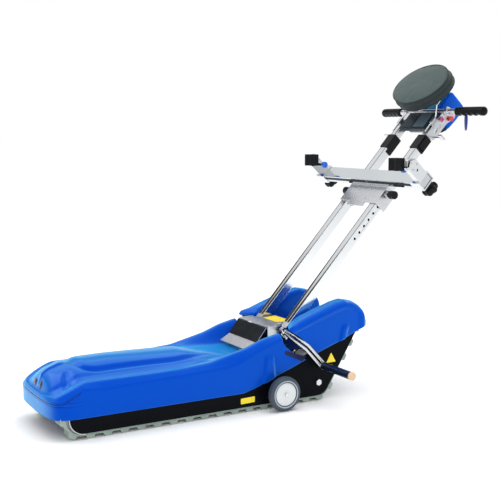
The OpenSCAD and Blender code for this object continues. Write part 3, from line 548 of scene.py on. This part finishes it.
COVER_X = 180.5
EDGE = smooth_lookup([(-960, 121), (-915, 122), (-880, 143), (-848, 160), (-820, 156), (-788, 151), (-661, 155),
                      (-486, 160), (-352, 164), (-311, 170), (-272, 191), (-203, 217), (-160, 233), (-139, 238),
                      (-100, 246)], 11)
CREST = smooth_lookup([(-960, 124), (-930, 133), (-880, 158), (-843, 174), (-500, 176), (-400, 182), (-340, 196),
                       (-269, 212), (-203, 236), (-139, 250), (-100, 256)])
VALLEY = smooth_lookup([(-960, 126), (-940, 137), (-880, 170), (-843, 184), (-600, 187), (-430, 184), (-330, 180),
                        (-139, 176), (-100, 176)])
SPINE = smooth_lookup([(-960, 126), (-945, 146), (-925, 172), (-906, 187), (-848, 206), (-700, 208), (-449, 200),
                       (-330, 186), (-260, 178), (-139, 176), (-100, 176)], 16)
FOOT = smooth_lookup([(-960, 69), (-290, 69), (-240, 83), (-163, 112), (-107, 131), (-34, 158), (8, 172)], 10)


def island_edge(x, y):
    """How far (x, y) lies inside the raised island on the cover's top, and the island's height there."""
    front = min(1.0, max(0.0, (-762 - y) / 78))
    half = 84 * math.sqrt(1 - front ** 2) - 26 * ease(y, -520, -360)
    return half - abs(x), 11 * ease(y, -836, -800) * (1 - ease(y, -470, -345))


def cover_height(share, y):
    """Height of the cover's top at a share of its half width."""
    e, c, v, s = EDGE(y), CREST(y), VALLEY(y), SPINE(y)
    inside, raised = island_edge(share * 180, y)
    top = v + (s - v) * (1 - (share / 0.62) ** 2 if share < 0.62 else 0)
    groove = 0.7 * math.exp(-((inside + 7) / 9) ** 2)
    top += raised * (0.45 * ease(inside, -2, 7) + 0.25 * ease(inside, 0, 40) - groove)
    blend = ease(share, 0.52, 0.80)
    outer = c + 2.5 * math.sin(math.pi * ease(share, 0.74, 0.95))
    top = top * (1 - blend) + outer * blend
    return top * (1 - ease(share, 0.86, 1.0) ** 2) + (e + 2) * ease(share, 0.86, 1.0) ** 2


def cover_outline():
    """Right half of the cover's outline in plan, from the nose's middle to the notch."""
    nose = [(0, NOSE_Y), (60, NOSE_Y + 0.8), (110, NOSE_Y + 4), (146, NOSE_Y + 12), (166, NOSE_Y + 26),
            (177, NOSE_Y + 50), (COVER_X, NOSE_Y + 82)]
    front = [(p.x, p.y) for p in spline([(x, y, 0) for x, y in nose], 46)]
    side = [(COVER_X, y) for y in (*np.linspace(-860, -232, 104), *np.linspace(-229, -139, 46))]
    return front + side


def cover_details(x, y, z, share):
    """How far a point on the cover's skin moves out of its side or up, for ribs, hollows and lines."""
    out = up = 0.0
    if abs(x) > COVER_X - 6 and y > -860:
        half = 15 + 0.1 * max(0.0, 187 - z)
        out += 7 * math.exp(-((y + 191) / half) ** 8) * (1 - ease(z, 174, 188))
    if y < -830:
        ridge = math.exp(-abs(x / 7) ** 1.6) * ease(y, -951, -925) * (1 - ease(y, -872, -838))
        up += 8 * ridge * ease(z, 128, 146)
        hollow = max(0.0, 1 - ((abs(x) - 100) / 46) ** 2 - ((y + 876 + 0.3 * (abs(x) - 100)) / 19) ** 2)
        up -= 8 * hollow ** 1.3
    if share > 0.70 and -870 < y < -330:
        line = 0.80 + 0.06 * math.sin((y + 860) / 150)
        up -= 2.4 * math.exp(-((share - line) / 0.025) ** 2) * ease(y, -868, -830) * (1 - ease(y, -560, -400))
    return out, up


def front_cover():
    """Blue shell over the nose and the sides, with painted slot shade on each side and a shut line round the nose."""
    half = cover_outline()
    outline = [(-x, y) for x, y in half[:0:-1]] + half
    skirt, top = 26, 58  # rows of points up the side, and from the edge to the middle
    rows = []
    for x, y in outline:
        nose = max(0.0, (-870 - y) / 82)
        middle_y = y if nose <= 0 else -870 - 54 * nose
        reach = 95 * ease(y, -240, -139) ** 2
        foot, edge = FOOT(y + reach), EDGE(y)
        row = []
        for k in range(skirt):
            t = k / skirt
            along = y + reach * (1 - t) ** 1.6
            z = foot + (edge - 5 - foot) * t
            lip = 0.0
            if y < -846:
                near = ease(-y, 846, 868)
                lip = near * (2.2 * math.exp(-((z - 117.5) / 2.2) ** 2) - 2.0 * math.exp(-((z - 112.5) / 1.4) ** 2))
            out, _ = cover_details(x, along, z, 1.0)
            facing = abs(x) / COVER_X if y > -872 else 1.0 if abs(x) > 1 else 0.0
            sideways = (out + lip * (1 if y > -872 else abs(x) / COVER_X)) * math.copysign(facing, x)
            row.append(base(x + sideways, along - (lip * 0.8 if y < -900 else 0), z))
        for k in range(top):
            share = 1 - k / (top - 1)
            px = x * (share ** 0.5 if share > 0.98 else share)
            py = y + (middle_y - y) * (1 - share ** 1.6)
            z = cover_height(share, py)
            corner = 5 * (1 - math.sqrt(max(0.0, 1 - max(0.0, 1 - (1 - share) * 26) ** 2)))
            _, up = cover_details(px, py, z, share)
            row.append(base(px, py, z + up - corner))
        rows.append(row)
    shell = piece("front_cover_shell", [v for row in rows for v in row], grid_faces(len(rows), len(rows[0])),
                  blue_gloss(), "root", ("front_cover",))
    thicken(shell)
    # Dark blue for the slot sheets, which are painted shade, and for the nose seam, a dark joint.
    dark = material("slot_shade_and_seam_blue", (0.001, 0.008, 0.06), 0.3, vary=0.1, bump=(300, 0.02), spec=0.3)
    # A flat dark sheet on each side of the cover, painted as the shade inside a slot; no recess is cut.
    for side, tag in SIDES:
        slot = rounded([(-131, 184), (-128, 197), (-44, 166), (-58, 150)], 3)
        verts, faces = slab(slot, 1.0, lambda a, b, c, side=side: base(side * (180.0 + c), a, b))
        piece(f"cover_slot_shade_{tag}", verts, faces, dark, "root", smooth=False)
    seam = []
    for x, y in [point for point in outline if point[1] < -856]:
        away = Vector((x, (y + 870) * 1.6, 0)).normalized()
        centre = base(x, y, EDGE(y) - 4.5)
        seam.append([centre + (away * math.cos(b) * 1.1 + Vector((0, 0, 1.5)) * math.sin(b)) * MM
                     for b in [math.tau * j / 8 for j in range(8)]])
    verts, faces = lofted(seam)
    piece("nose_seam", verts, faces, dark, "root")


LOBE_TOP = smooth_lookup([(-125, 250), (-112, 262), (-106, 271), (-95, 277), (-60, 289), (-15, 304), (40, 322),
                          (90, 338), (126, 345), (158, 340), (184, 325), (202, 308), (212, 290), (216, 272),
                          (230, 240)], 6)
LOBE_LOW = smooth_lookup([(-125, 262), (-112, 260), (-104, 259), (-84, 247), (-58, 229), (-30, 205), (2, 170),
                          (110, 207), (168, 230), (216, 250), (230, 256)], 6)
LOBE_IN_LOW = smooth_lookup([(-125, 264), (-100, 262), (-84, 258), (-50, 230), (0, 190), (120, 236), (200, 256),
                             (230, 258)], 6)
LOBE_IN = 109.5


def rear_lobe(side, name, node):
    """Rear cover over the upper end of a track, with a raised band along its crest and a half-round rib."""
    rows = []
    stations = [-110 + 14 * (1 - math.cos(a)) for a in np.linspace(0.1, math.pi / 2, 10)]
    stations += list(np.linspace(-94, 196, 84)) + [216 - 20 * math.cos(a) for a in np.linspace(0.15, math.pi / 2, 14)]
    for y in stations:
        top, low, low_in = LOBE_TOP(y), LOBE_LOW(y), LOBE_IN_LOW(y)
        tall = top - low
        r = min(19.0, max(3.0, tall * 0.45))
        tail = max(ease(y, 200, 216), 1 - ease(y, -112, -94))
        x1, x0 = COVER_X - 7 * tail ** 2, LOBE_IN + 7 * tail ** 2
        row = []
        for k in range(22):
            t = k / 22
            z = low + (top - r - low) * t
            band = 3.0 * (1 - ease(z, top - 30, top - 24)) * ease(y, -100, -80) * (1 - ease(y, 176, 200))
            rib = 5.5 * math.exp(-((y - 112 - (z - 207) * 0.25) / 13) ** 4) * (1 - ease(z, 246, 264))
            row.append((x1 - band + rib, z))
        width = x1 - x0
        for k in range(11):
            a = math.pi / 2 * k / 10
            row.append((x1 - 1.25 * r * (1 - math.cos(a)), top - r * (1 - math.sin(a)) + 1.2 * math.sin(a)))
        row.append((x0 + width * 0.5, top + 1.6))
        for k in range(11):
            a = math.pi / 2 * (1 - k / 10)
            row.append((x0 + 0.9 * r * (1 - math.cos(a)), top - r * (1 - math.sin(a)) + 1.2 * math.sin(a)))
        for k in range(1, 9):
            row.append((x0, top - r + (low_in - top + r) * k / 8))
        skew = 32 * (1 - ease(y, -112, -30))
        rows.append([base(side * x, y + skew * (x1 - x) / (x1 - x0) if x < x1 else y, z) for x, z in row])
    verts = [v for row in rows for v in row]
    columns = len(rows[0])
    faces = grid_faces(len(rows), columns)
    for first in (0, (len(rows) - 1) * columns):
        for j in range(columns // 2):
            faces.append((first + j, first + j + 1, first + columns - 2 - j, first + columns - 1 - j))
    thicken(piece(name, verts, faces, blue_gloss(), "root", (node,)))


def on_cover(x, z):
    """Where a line along Y at x and z meets the cover's skin from the front, and the skin's direction there."""
    shell = bpy.data.objects["front_cover_shell"]
    hit, spot, out, _ = shell.ray_cast(base(x, -1100, z), Vector((0, 1, 0)))
    return (spot, out) if hit else (base(x, NOSE_Y, z), Vector((0, -1, 0)))


def nose_openings():
    """Dark lamp and socket openings on the two sides of the hood's ridge."""
    dark = material("opening_black", (0.004, 0.004, 0.006), 0.3, coat=0.4, vary=0.2, bump=(500, 0.05))
    ring = material("opening_rim", (0.006, 0.05, 0.32), 0.3, coat=0.6, vary=0.1, bump=(400, 0.03))
    for name, x, half_w, half_h, power in (("nose_socket", 20, 9, 12, 2.0), ("nose_window", -33, 12, 8, 5.0)):
        spot, out = on_cover(x, 148)
        side = Vector((0, 0, 1)).cross(out).normalized()
        along = out.cross(side)
        for part, grow, lift, look in (("_rim", 2.2, 0.6, ring), ("", 0.0, 1.4, dark)):
            rings = []
            for depth, size in ((-9, 1.0), (lift, 1.0), (lift + 0.5, 0.93)):
                loop = []
                for k in range(40):
                    a = math.tau * k / 40
                    c, s = math.cos(a), math.sin(a)
                    n = (abs(c) ** power + abs(s) ** power) ** (-1 / power)
                    loop.append(spot + (side * (half_w + grow) * size * n * c + along * (half_h + grow) * size * n * s
                                        + out * depth) * MM)
                rings.append(loop)
            verts, faces = lofted(rings)
            piece(name + part, verts, faces, look, "root")


# ---- side plates: blank stickers and the pale edge of the track guide ----


def stickers():
    yellow = material("sticker_yellow", (0.93, 0.72, 0.01), 0.42, coat=0.2, vary=0.04, grain=80, bump=(300, 0.03))
    for side, tag in SIDES:
        def on_plate(a, b, c, side=side):
            return base(side * (177.05 + c), a, b)
        verts, faces = slab(rounded([(-300, 32), (-246, 33.5), (-246, 53), (-300, 51.5)], 3), 0.3, on_plate)
        piece(f"blank_label_{tag}", verts, faces, yellow, "root", smooth=False)
        verts, faces = slab(rounded([(44, 132), (84, 132), (64, 167)], 4), 0.3, on_plate)
        piece(f"blank_triangle_{tag}", verts, faces, yellow, "root", smooth=False)
    verts, faces = slab(rounded([(-44, -82), (46, -82), (66, -24), (-58, -24)], 4), 0.3,
                        lambda a, b, c: base(a, b, 267.55 + c))
    piece("blank_foot_label", verts, faces, yellow, "root", smooth=False)


def track_edges():
    """Pale rubber edge that shows round the front of each side plate."""
    pale = material("pale_edge", (0.66, 0.7, 0.68), 0.4, vary=0.06, bump=(300, 0.03))
    for side, tag in SIDES:
        rings = []
        for k in range(40):
            a = math.radians(172 + 100 * k / 39)
            cy, cz = -847 + 49.5 * math.cos(a), 68 + 49.5 * math.sin(a)
            n = Vector((0, math.cos(a), math.sin(a)))
            loop = []
            for j in range(8):
                b = math.tau * j / 8
                loop.append(base(side * (175.8 + 1.3 * math.cos(b)), cy, cz) + n * 1.3 * math.sin(b) * MM)
            rings.append(loop)
        verts, faces = lofted(rings)
        piece(f"track_edge_{tag}", verts, faces, pale, "root")


# ---- transport wheels ----

WHEEL = (222, -157, 60)
WHEEL_R = 59.5


def wheels():
    """Tyre, dark ring painted as the shade in the gap, light ring, white disc and centre pin of each transport wheel.
    """
    tyre = material("tyre_blue_grey", (0.035, 0.052, 0.075), 0.55, vary=0.15, grain=90, bump=(700, 0.12),
                    dust=(0.06, 0.08, 0.1))
    pale = material("tyre_ring", (0.36, 0.42, 0.48), 0.45, vary=0.06, bump=(400, 0.03))
    white = material("hub_white", (0.66, 0.68, 0.68), 0.28, coat=0.3, vary=0.04, bump=(300, 0.02))
    steel = bright_steel()
    for side, tag in SIDES:
        centre = base(side * WHEEL[0], WHEEL[1], WHEEL[2])
        body = f"wheel_{tag}"
        profile = [(-10.5, 42.6), (-13, 44), (-14, 48), (-13.6, 52)]
        profile += [(-12 + 24 * k / 12, WHEEL_R - 3.6 * (abs(k - 6) / 6) ** 2.6 - (0.9 if k in (4, 8) else 0))
                    for k in range(13)]
        profile += [(13.6, 52), (14, 48), (13, 44), (10.5, 42.6)]
        profile = [(side * a, r) for a, r in profile]
        verts, faces = closed_tube(turned(profile, centre, 96))
        piece(f"tyre_{tag}_moulded", verts, faces, tyre, body, (f"tyre_{tag}",))
        ring = [(side * a, r) for a, r in ((12.4, 42.4), (13.9, 43), (14.5, 44.3), (14.5, 46.2), (13.4, 47.4))]
        verts, faces = lofted(turned(ring, centre, 96), caps=False)
        piece(f"wheel_ring_{tag}", verts, faces, pale, body)
        # A band of dark tyre rubber laid over the gap between the disc and the light ring, painted as the shade in
        # that gap.
        gap = [(side * a, r) for a, r in ((11.5, 39.4), (13.0, 39.8), (13.0, 42.6), (11.5, 43))]
        verts, faces = lofted(turned(gap, centre, 96), caps=False)
        piece(f"wheel_gap_shade_{tag}", verts, faces, tyre, body)
        disc = [(side * a, r) for a, r in ((-13.6, 5), (-13.6, 17), (-9, 18), (-9, 42), (9, 42.2), (9.6, 40.6),
                                           (11.6, 39.6), (12.6, 37.5), (13.2, 25), (13.4, 9), (13.0, 7.5),
                                           (13.0, 0.2))]
        verts, faces = lofted(turned(disc, centre, 96), caps=True)
        piece(f"hub_disc_{tag}", verts, faces, white, body, (f"hub_{tag}",))
        cap = [(side * a, r) for a, r in ((12.6, 3.4), (13.5, 3.2), (13.9, 2.2), (13.9, 0.1))]
        verts, faces = lofted(turned(cap, centre, 24), caps=True)
        piece(f"hub_pin_{tag}", verts, faces, steel, body)


# ---- foot of the mast ----


def ramp_cover():
    """Dark upper skin of the sloping plate."""
    dark = material("ramp_dark", (0.03, 0.035, 0.042), 0.24, metal=0.8, vary=0.12, grain=40,
                    bump=(500, 0.02), spec=0.3)
    low, high = Vector((0, -193.5, 213.9)), Vector((0, -154.6, 263.3))
    along = (high - low).normalized()
    out = Vector((0, -along.z, along.y))
    length = (high - low).length
    verts, faces = slab(rounded([(-97, 1), (97, 1), (97, length), (-97, length)], 3), 1.2,
                        lambda a, b, c: base(*(low + Vector((a, 0, 0)) + along * b + out * (c + 0.2))))
    piece("ramp_skin", verts, faces, dark, "root", smooth=False, soft_edge=0.0004)


def hex_heads(name, places, body, radius=5, height=3.4):
    """Socket-head screws: each place is (centre, outward direction)."""
    verts, faces = [], []
    for centre, way in places:
        way = Vector(way).normalized()
        first = way.orthogonal().normalized()
        second = way.cross(first)
        start = len(verts)
        rings = []
        for up, scale in ((0, 1.0), (height * 0.82, 1.0), (height, 0.86), (height, 0.5), (height * 0.45, 0.45)):
            rings.append([centre + (way * up + (first * math.cos(a) + second * math.sin(a)) * radius * scale) * MM
                          for a in [math.tau * k / 24 for k in range(24)]])
        more_verts, more_faces = lofted(rings)
        verts += more_verts
        faces += [tuple(start + i for i in face) for face in more_faces]
    piece(name, verts, faces, bright_steel(), body, soft_edge=0.0)


def small_screws():
    hex_heads("foot_screws", [(base(x, y, 267.5), (0, 0, 1)) for x in (-90, 90) for y in (-140, -112)],
              "root", 4, 2.6)
    hex_heads("carriage_screws", [(mast(x, u, -5), MAST_FRONT) for x in (-38, 30) for u in (566, 606)],
              "carriage", 4, 2.6)
    for side, tag in SIDES:
        spots = [(mast(side * 321, 654 + 15 * math.cos(a), -99 + 15 * math.sin(a)), (side, 0, 0))
                 for a in (0.5, 0.5 + math.tau / 3, 0.5 + 2 * math.tau / 3)]
        hex_heads(f"arm_bolts_{tag}", spots, f"arm_{tag}", 4.2, 3)
    hex_heads("head_bolts", [(mast(side * 107.1, u, w), (side, 0, 0)) for side in (-1, 1)
                             for u, w in ((956, 30), (1024, 22))], "head", 3.6, 2.4)


# ---- crossbar, arms and knobs ----


STAR_R = 30


def star_knobs():
    """Six-lobed knobs with a short stem, behind the crossbar's ends."""
    def turn(a, radius, w):
        return (MAST_AXES @ Vector((radius * math.cos(a), radius * math.sin(a), -w))) * MM

    look = black_plastic()
    angles = [math.tau * k / 96 for k in range(96)]
    for side, tag in SIDES:
        centre = mast(side * 300, 654, 10)
        rings = []
        for w, radius in ((0, 5), (0, 12), (8, 12.5), (10, 15)):
            rings.append([mast(side * 300, 654, 0) + turn(a, radius, w) for a in angles])
        for w, share in ((0, 0.80), (1.5, 0.90), (5, 0.985), (13, 1.0), (20, 0.975), (24, 0.88), (26, 0.72),
                         (26.4, 0.3)):
            rings.append([centre + turn(a, STAR_R * share * (0.78 + 0.22 * (0.5 + 0.5 * math.cos(6 * a)) ** 0.6), w)
                          for a in angles])
        verts, faces = lofted(rings)
        piece(f"star_knob_{tag}_moulded", verts, faces, look, f"star_{tag}", (f"star_knob_{tag}",))


def arm_pads():
    """Rubber block with a groove for a tube, rounded all round, on a lug, and a light hinge block outside it."""
    rubber = soft_black()
    pale = material("hinge_alloy", (0.62, 0.65, 0.64), 0.3, metal=0.7, vary=0.06, bump=(300, 0.03))
    hinge = mast(0, 654, -105)
    for side, tag in SIDES:
        def put(a, b, c, side=side):
            return hinge + Vector((side * a, -b, c)) * MM
        outline = [(242, 8), (286, 8), (286, 46), (277, 46)]
        outline += [(260.5 + 17 * math.cos(a), 51 - 17 * math.sin(a)) for a in np.linspace(0.3, math.pi - 0.3, 9)]
        outline = rounded(outline + [(242, 46)], 3.5, 4)
        verts, faces = slab(outline, 44, lambda a, b, c: put(a, b, c - 22))
        obj = piece(f"arm_pad_{tag}_rubber", verts, faces, rubber, f"pad_{tag}", (f"arm_pad_{tag}",),
                    soft_edge=0.0025)
        obj.modifiers["bevel"].segments = 4
        lug = rounded([(274, -9), (286, -9), (286, 9), (274, 9)], 1.5, 3)
        verts, faces = slab(lug, 18, lambda a, b, c: put(a, b, c - 9))
        piece(f"arm_pad_{tag}_lug", verts, faces, rubber, f"pad_{tag}", soft_edge=0.001)
        plate = rounded([(286.1, 10), (288.4, 10), (288.4, 44), (286.1, 44)], 0.8, 2)
        verts, faces = slab(plate, 38, lambda a, b, c: put(a, b, c - 19))
        piece(f"arm_pad_{tag}_plate", verts, faces, rubber, f"pad_{tag}", soft_edge=0.0006)
        block = rounded([(-17, -17), (17, -17), (17, 13), (8, 21), (-8, 21), (-17, 13)], 4, 4)
        verts, faces = slab(block, 18, lambda a, b, c, side=side: hinge + Vector((side * (292 + c), a, b)) * MM)
        piece(f"hinge_block_{tag}", verts, faces, pale, f"arm_{tag}", soft_edge=0.0012)


def plungers():
    """Blue pull knobs on black stems."""
    blue = material("plunger_blue", (0.004, 0.12, 0.62), 0.28, coat=0.3, vary=0.08, bump=(500, 0.03))
    for side, tag in SIDES:
        centre = mast(0, 654, -77)
        knob = [(236.2, 0.2), (236.2, 7), (237, 10), (239.5, 12), (250, 12), (253.5, 10.5), (255.8, 6), (255.8, 5)]
        verts, faces = lofted(turned([(side * a, r) for a, r in knob], centre, 40))
        piece(f"plunger_{tag}_knob", verts, faces, blue, f"plunger_{tag}", (f"plunger_{tag}",))
        stem = [(255.8, 5), (312.5, 5), (313.8, 4)]
        verts, faces = lofted(turned([(side * a, r) for a, r in stem], centre, 40))
        piece(f"plunger_{tag}_stem", verts, faces, black_plastic(), f"plunger_{tag}")


def rail_lines():
    """Dark strips along both edges of each rail's front, wide at the foot and fine higher up: painted dark
    reflections.
    """
    # Painted dark reflections on the polished rails, laid on as thin dark strips.
    dark = material("painted_reflection_dark", (0.02, 0.021, 0.024), 0.5, vary=0.1, bump=(400, 0.03), spec=0.2)
    for side, tag in SIDES:
        for number, (edge, way) in enumerate(((RAIL_X0, 1), (RAIL_X1, -1))):
            outline = [(edge + way * a, u) for a, u in ((1.5, 4), (15, 4), (15, 60), (9, 200), (4.6, 380), (4.2, 846),
                                                        (2, 846), (2, 380))]
            verts, faces = slab(outline, 0.15, lambda a, b, c, side=side: mast(side * a, b, -0.05 - c))
            piece(f"rail_line_{tag}_{number}", verts, faces, dark, "mast", smooth=False)


def bar_dark_reflection():
    """Dark strip along the crossbar's lower face, painted as a dark reflection band of the polished bar."""
    # Painted dark reflection on the polished bar, laid on as a thin dark strip.
    dark = material("painted_reflection_dark", (0.02, 0.021, 0.024), 0.5)
    for side, tag in SIDES:
        outline = [(side * 2, 16), (side * 296, 16), (side * 296, 30), (side * 2, 30)]
        verts, faces = slab(outline, 0.2, lambda a, b, c: mast(a, BAR_LOW_U - 0.05 - c, -b))
        piece(f"bar_dark_reflection_{tag}", verts, faces, dark, "carriage", smooth=False)


def bar_caps():
    """Plugs in the open ends of the crossbar."""
    light = material("cap_light", (0.62, 0.63, 0.65), 0.3, metal=0.7, vary=0.06, bump=(500, 0.04))
    for side, tag in SIDES:
        outline = rounded([(631, 5.6), (677, 5.6), (677, 34.4), (631, 34.4)], 3, 4)
        verts, faces = slab(outline, 3.4, lambda a, b, c, side=side: mast(side * (308.5 + c), a, -b))
        piece(f"bar_cap_{tag}", verts, faces, light, "carriage", soft_edge=0.001)


# ---- head ----

def housing():
    """Blue controller housing: rounded outline, rounded flanks and a shut line."""
    keep = [(998, 21.5), (999, 8), (1011, 2), (1100, 0), (1112, 8), (1112, 86), (1101, 97), (1046, 98), (991, 91),
            (991, 22)]
    outline = rounded(keep, 9, 6)
    middle = Vector((sum(p[0] for p in outline) / len(outline), sum(p[1] for p in outline) / len(outline)))
    rings = []
    for x, inset in ((-72, 9), (-71, 5.5), (-68.5, 2.6), (-64, 0.8), (-58, 0), (-1.2, 0), (-0.7, 0.8), (0.7, 0.8),
                     (1.2, 0), (58, 0), (64, 0.8), (68.5, 2.6), (71, 5.5), (72, 9)):
        ring = []
        for p in outline:
            q = Vector(p)
            q -= (q - middle).normalized() * inset
            ring.append(mast(x, q.x, q.y))
        rings.append(ring)
    verts, faces = lofted(rings)
    piece("housing_shell", verts, faces, blue_gloss(), "head", ("control_housing",))


def box_details():
    """Raised grey panel and dark lid on the control box."""
    dark = NODE_LOOKS["control_box"]()
    grey = material("panel_grey", (0.05, 0.075, 0.095), 0.4, vary=0.1, bump=(500, 0.04), spec=0.3)
    outline = rounded([(4, 920), (68, 920), (68, 990), (4, 990)], 4)
    verts, faces = slab(outline, 0.8, lambda a, b, c: mast(a, b, -6.02 - c))
    piece("box_panel", verts, faces, grey, "head", smooth=False, soft_edge=0.0003)
    outline = rounded([(-66, 920), (-6, 920), (-6, 990), (-66, 990)], 5)
    verts, faces = slab(outline, 1.6, lambda a, b, c: mast(a, b, -2.02 - c))
    piece("box_lid", verts, faces, dark, "head", smooth=False, soft_edge=0.0006)


GRIP_NEAR_X = 116.1
GRIP_FAR_X = 290
GRIP_FROM_X = 160


def grips():
    """Rubber grips with finger grooves on the underside and a domed end."""
    rubber = material("grip_rubber", (0.0035, 0.0045, 0.0055), 0.34, spec=0.12, vary=0.18, grain=90,
                      bump=(900, 0.08))
    middle = mast(0, 1012, 12)
    for side, tag in SIDES:
        near = Vector((SHIFT_X + side * GRIP_NEAR_X * MM, middle.y, middle.z))
        far = Vector((SHIFT_X + side * GRIP_FAR_X * MM, middle.y + 22 * MM, middle.z))
        way = (far - near).normalized()
        length = (far - near).length / MM
        start = (GRIP_FROM_X - GRIP_NEAR_X) / (GRIP_FAR_X - GRIP_NEAR_X) * length
        end = length + 6
        down = Vector((0, 0, -1))
        across = way.cross(down).normalized()
        rings = []
        count = 90
        for k in range(count + 1):
            t = k / count
            along = start + (end - start) * t
            body = (end - start) * t
            total = end - start
            r = 16.6
            if body < 7:
                r = 17 - 2.5 * (1 - body / 7) ** 2
            if total - body < 12:
                r = 16.6 * math.sqrt(max(0.0, 1 - ((12 - (total - body)) / 12) ** 2.4)) + 0.05
            groove = ease(body, 12, 20) * (1 - ease(body, total - 26, total - 18))
            wave = 0.5 - 0.5 * math.cos(math.tau * (body - 14) / ((total - 34) / 4))
            ring = []
            for j in range(48):
                a = math.tau * j / 48
                under = max(0.0, math.cos(a)) ** 1.2
                knurl = 0.35 * math.cos(24 * a) * groove * (1 - under)
                rr = r * (1 - 0.20 * groove * wave * under) + knurl * 0.5
                ring.append(near + way * along * MM + (down * math.cos(a) + across * math.sin(a)) * rr * MM)
            rings.append(ring)
        verts, faces = lofted(rings)
        stands = ("grips",) if side == 1 else ()
        piece(f"grip_{tag}", verts, faces, rubber, "head", stands)


def wrist_strap():
    """Loop of webbing that hangs from the handlebar beside the right grip."""
    webbing = material("strap_blue", (0.006, 0.035, 0.22), 0.65, vary=0.15, grain=120, weave=1.6, sheen=0.3)
    top = Vector((SHIFT_X + 205 * MM, mast(0, 1012, 12).y + 11 * MM, mast(0, 1012, 12).z - 15 * MM))
    rings = []
    for k in range(48):
        a = math.tau * k / 48
        fall = (1 - math.cos(a)) / 2
        centre = top + Vector((1.5 * math.sin(2 * a), (1.5 + 4.5 * fall ** 1.5) * math.sin(a), -54 * fall)) * MM
        way = Vector((0, (1.5 + 4.5 * fall ** 1.5) * math.cos(a), -27 * math.sin(a) + 0.01)).normalized()
        flat = Vector((1, 0.35 * math.cos(a), 0)).normalized()
        out = way.cross(flat).normalized()
        rings.append([centre + flat * 4.6 * p * MM + out * 0.8 * q * MM
                      for p, q in ((-1, -1), (0, -1.2), (1, -1), (1, 1), (0, 1.2), (-1, 1))])
    verts, faces = closed_tube(rings)
    piece("strap_loop", verts, faces, webbing, "head", ("wrist_strap",), soft_edge=0.0003)


# ---- headrest ----

PAD_U, PAD_BACK = 1064, -38
PAD_HALF_W, PAD_HALF_H = 143, 103


def pad_point(a, share, out):
    """Point of the pad at angle a, share of its radius and distance in front of its back."""
    return mast(PAD_HALF_W * share * math.cos(a), PAD_U + PAD_HALF_H * share * math.sin(a), PAD_BACK - out)


def headrest():
    """Padded cushion with piped seams and a covered zip round its side; its side is a darker copy of the front cloth,
    painted shade.
    """
    fabric = material("pad_cloth", (0.045, 0.068, 0.064), 0.78, vary=0.12, grain=60, weave=1.4, sheen=0.12,
                      dust=(0.062, 0.086, 0.082), spec=0.3)
    # The front cloth darkened, as painted shade on the cushion's side; the piped seams use it too.
    shaded_side_cloth = material("pad_side_shaded", (0.022, 0.032, 0.033), 0.72, vary=0.14, grain=60, weave=1.1, sheen=0.08,
                          spec=0.2)
    steps = 120
    profile = [(0, 0.10), (0.4, 0.5), (1.2, 0.84), (4, 0.935), (9, 0.97), (16, 0.985), (26, 0.99), (36, 0.985),
               (44, 0.975), (50, 0.955), (53, 0.925), (55, 0.87), (56.4, 0.78), (57.4, 0.66), (58.2, 0.5),
               (58.8, 0.33), (59, 0.16), (59, 0.04)]
    rings = [[pad_point(math.tau * k / steps, share, out) for k in range(steps)] for out, share in profile]
    verts, faces = lofted(rings)
    pad = piece("headrest_cushion", verts, faces, fabric, "headrest", ("headrest_pad",))
    pad.data.materials.append(shaded_side_cloth)
    # Faces in front of the front seam keep the front cloth; the rest, the side, get its darker copy as painted shade.
    for face in pad.data.polygons:
        centre = MAST_AXES.transposed() @ (face.center - mast(0, PAD_U, PAD_BACK))
        face.material_index = 0 if centre.z > 50.5 * MM else 1
    swell(pad, 5)
    for name, out, share, thick in (("headrest_seam_front", 50.5, 0.966, 1.5),
                                    ("headrest_seam_back", 8.5, 0.975, 1.3)):
        section = [(thick * math.cos(b), thick * math.sin(b)) for b in [math.tau * j / 8 for j in range(8)]]
        pad_loop(name, out, share, section, shaded_side_cloth)
    dark = material("zip_dark", (0.012, 0.013, 0.014), 0.5, vary=0.2, bump=(900, 0.2))
    welt = [(-1.5, -2.2), (0.7, -1.8), (1.1, -0.6), (1.1, 0.6), (0.7, 1.8), (-1.5, 2.2)]
    pad_loop("headrest_zip", 27, 0.996, welt, dark)


def pad_loop(name, out, share, section, look):
    """Loop round the pad with a section given as (outward, frontward) points."""
    rings = []
    for k in range(160):
        centre = pad_point(math.tau * k / 160, share, out)
        away = (centre - mast(0, PAD_U, PAD_BACK - out)).normalized()
        rings.append([centre + (away * p + MAST_FRONT * q) * MM for p, q in section])
    verts, faces = closed_tube(rings)
    piece(name, verts, faces, look, "headrest")


def swell(obj, cap):
    """Inflates a padded piece with cloth simulation, capped in mm, and keeps the result as its mesh."""
    scene = bpy.context.scene
    rest = np.array([v.co for v in obj.data.vertices])
    cloth = obj.modifiers.new("cloth", "CLOTH")
    cloth.settings.quality = 5
    cloth.settings.use_pressure = True
    cloth.settings.uniform_pressure_force = 3.0
    cloth.settings.tension_stiffness = 40
    cloth.settings.compression_stiffness = 40
    cloth.settings.effector_weights.gravity = 0
    for step in range(1, 13):
        scene.frame_set(step)
    depsgraph = bpy.context.evaluated_depsgraph_get()
    moved = np.array([v.co for v in obj.evaluated_get(depsgraph).data.vertices])
    obj.modifiers.remove(cloth)
    scene.frame_set(1)
    shift = moved - rest
    length = np.maximum(np.linalg.norm(shift, axis=1, keepdims=True), 1e-9)
    shift *= np.minimum(1.0, cap * MM / length)
    obj.data.vertices.foreach_set("co", (rest + shift).astype(np.float32).ravel())
    obj.data.update()


# ---- build ----

make_camera()
make_studio()
make_floor()
dress_cad_nodes()
front_cover()
rear_lobe(1, "rear_lobe_right", "rear_cover_right")
rear_lobe(-1, "rear_lobe_left", "rear_cover_left")
nose_openings()
stickers()
track_edges()
wheels()
ramp_cover()
small_screws()
star_knobs()
arm_pads()
plungers()
rail_lines()
bar_dark_reflection()
bar_caps()
housing()
box_details()
grips()
wrist_strap()
headrest()
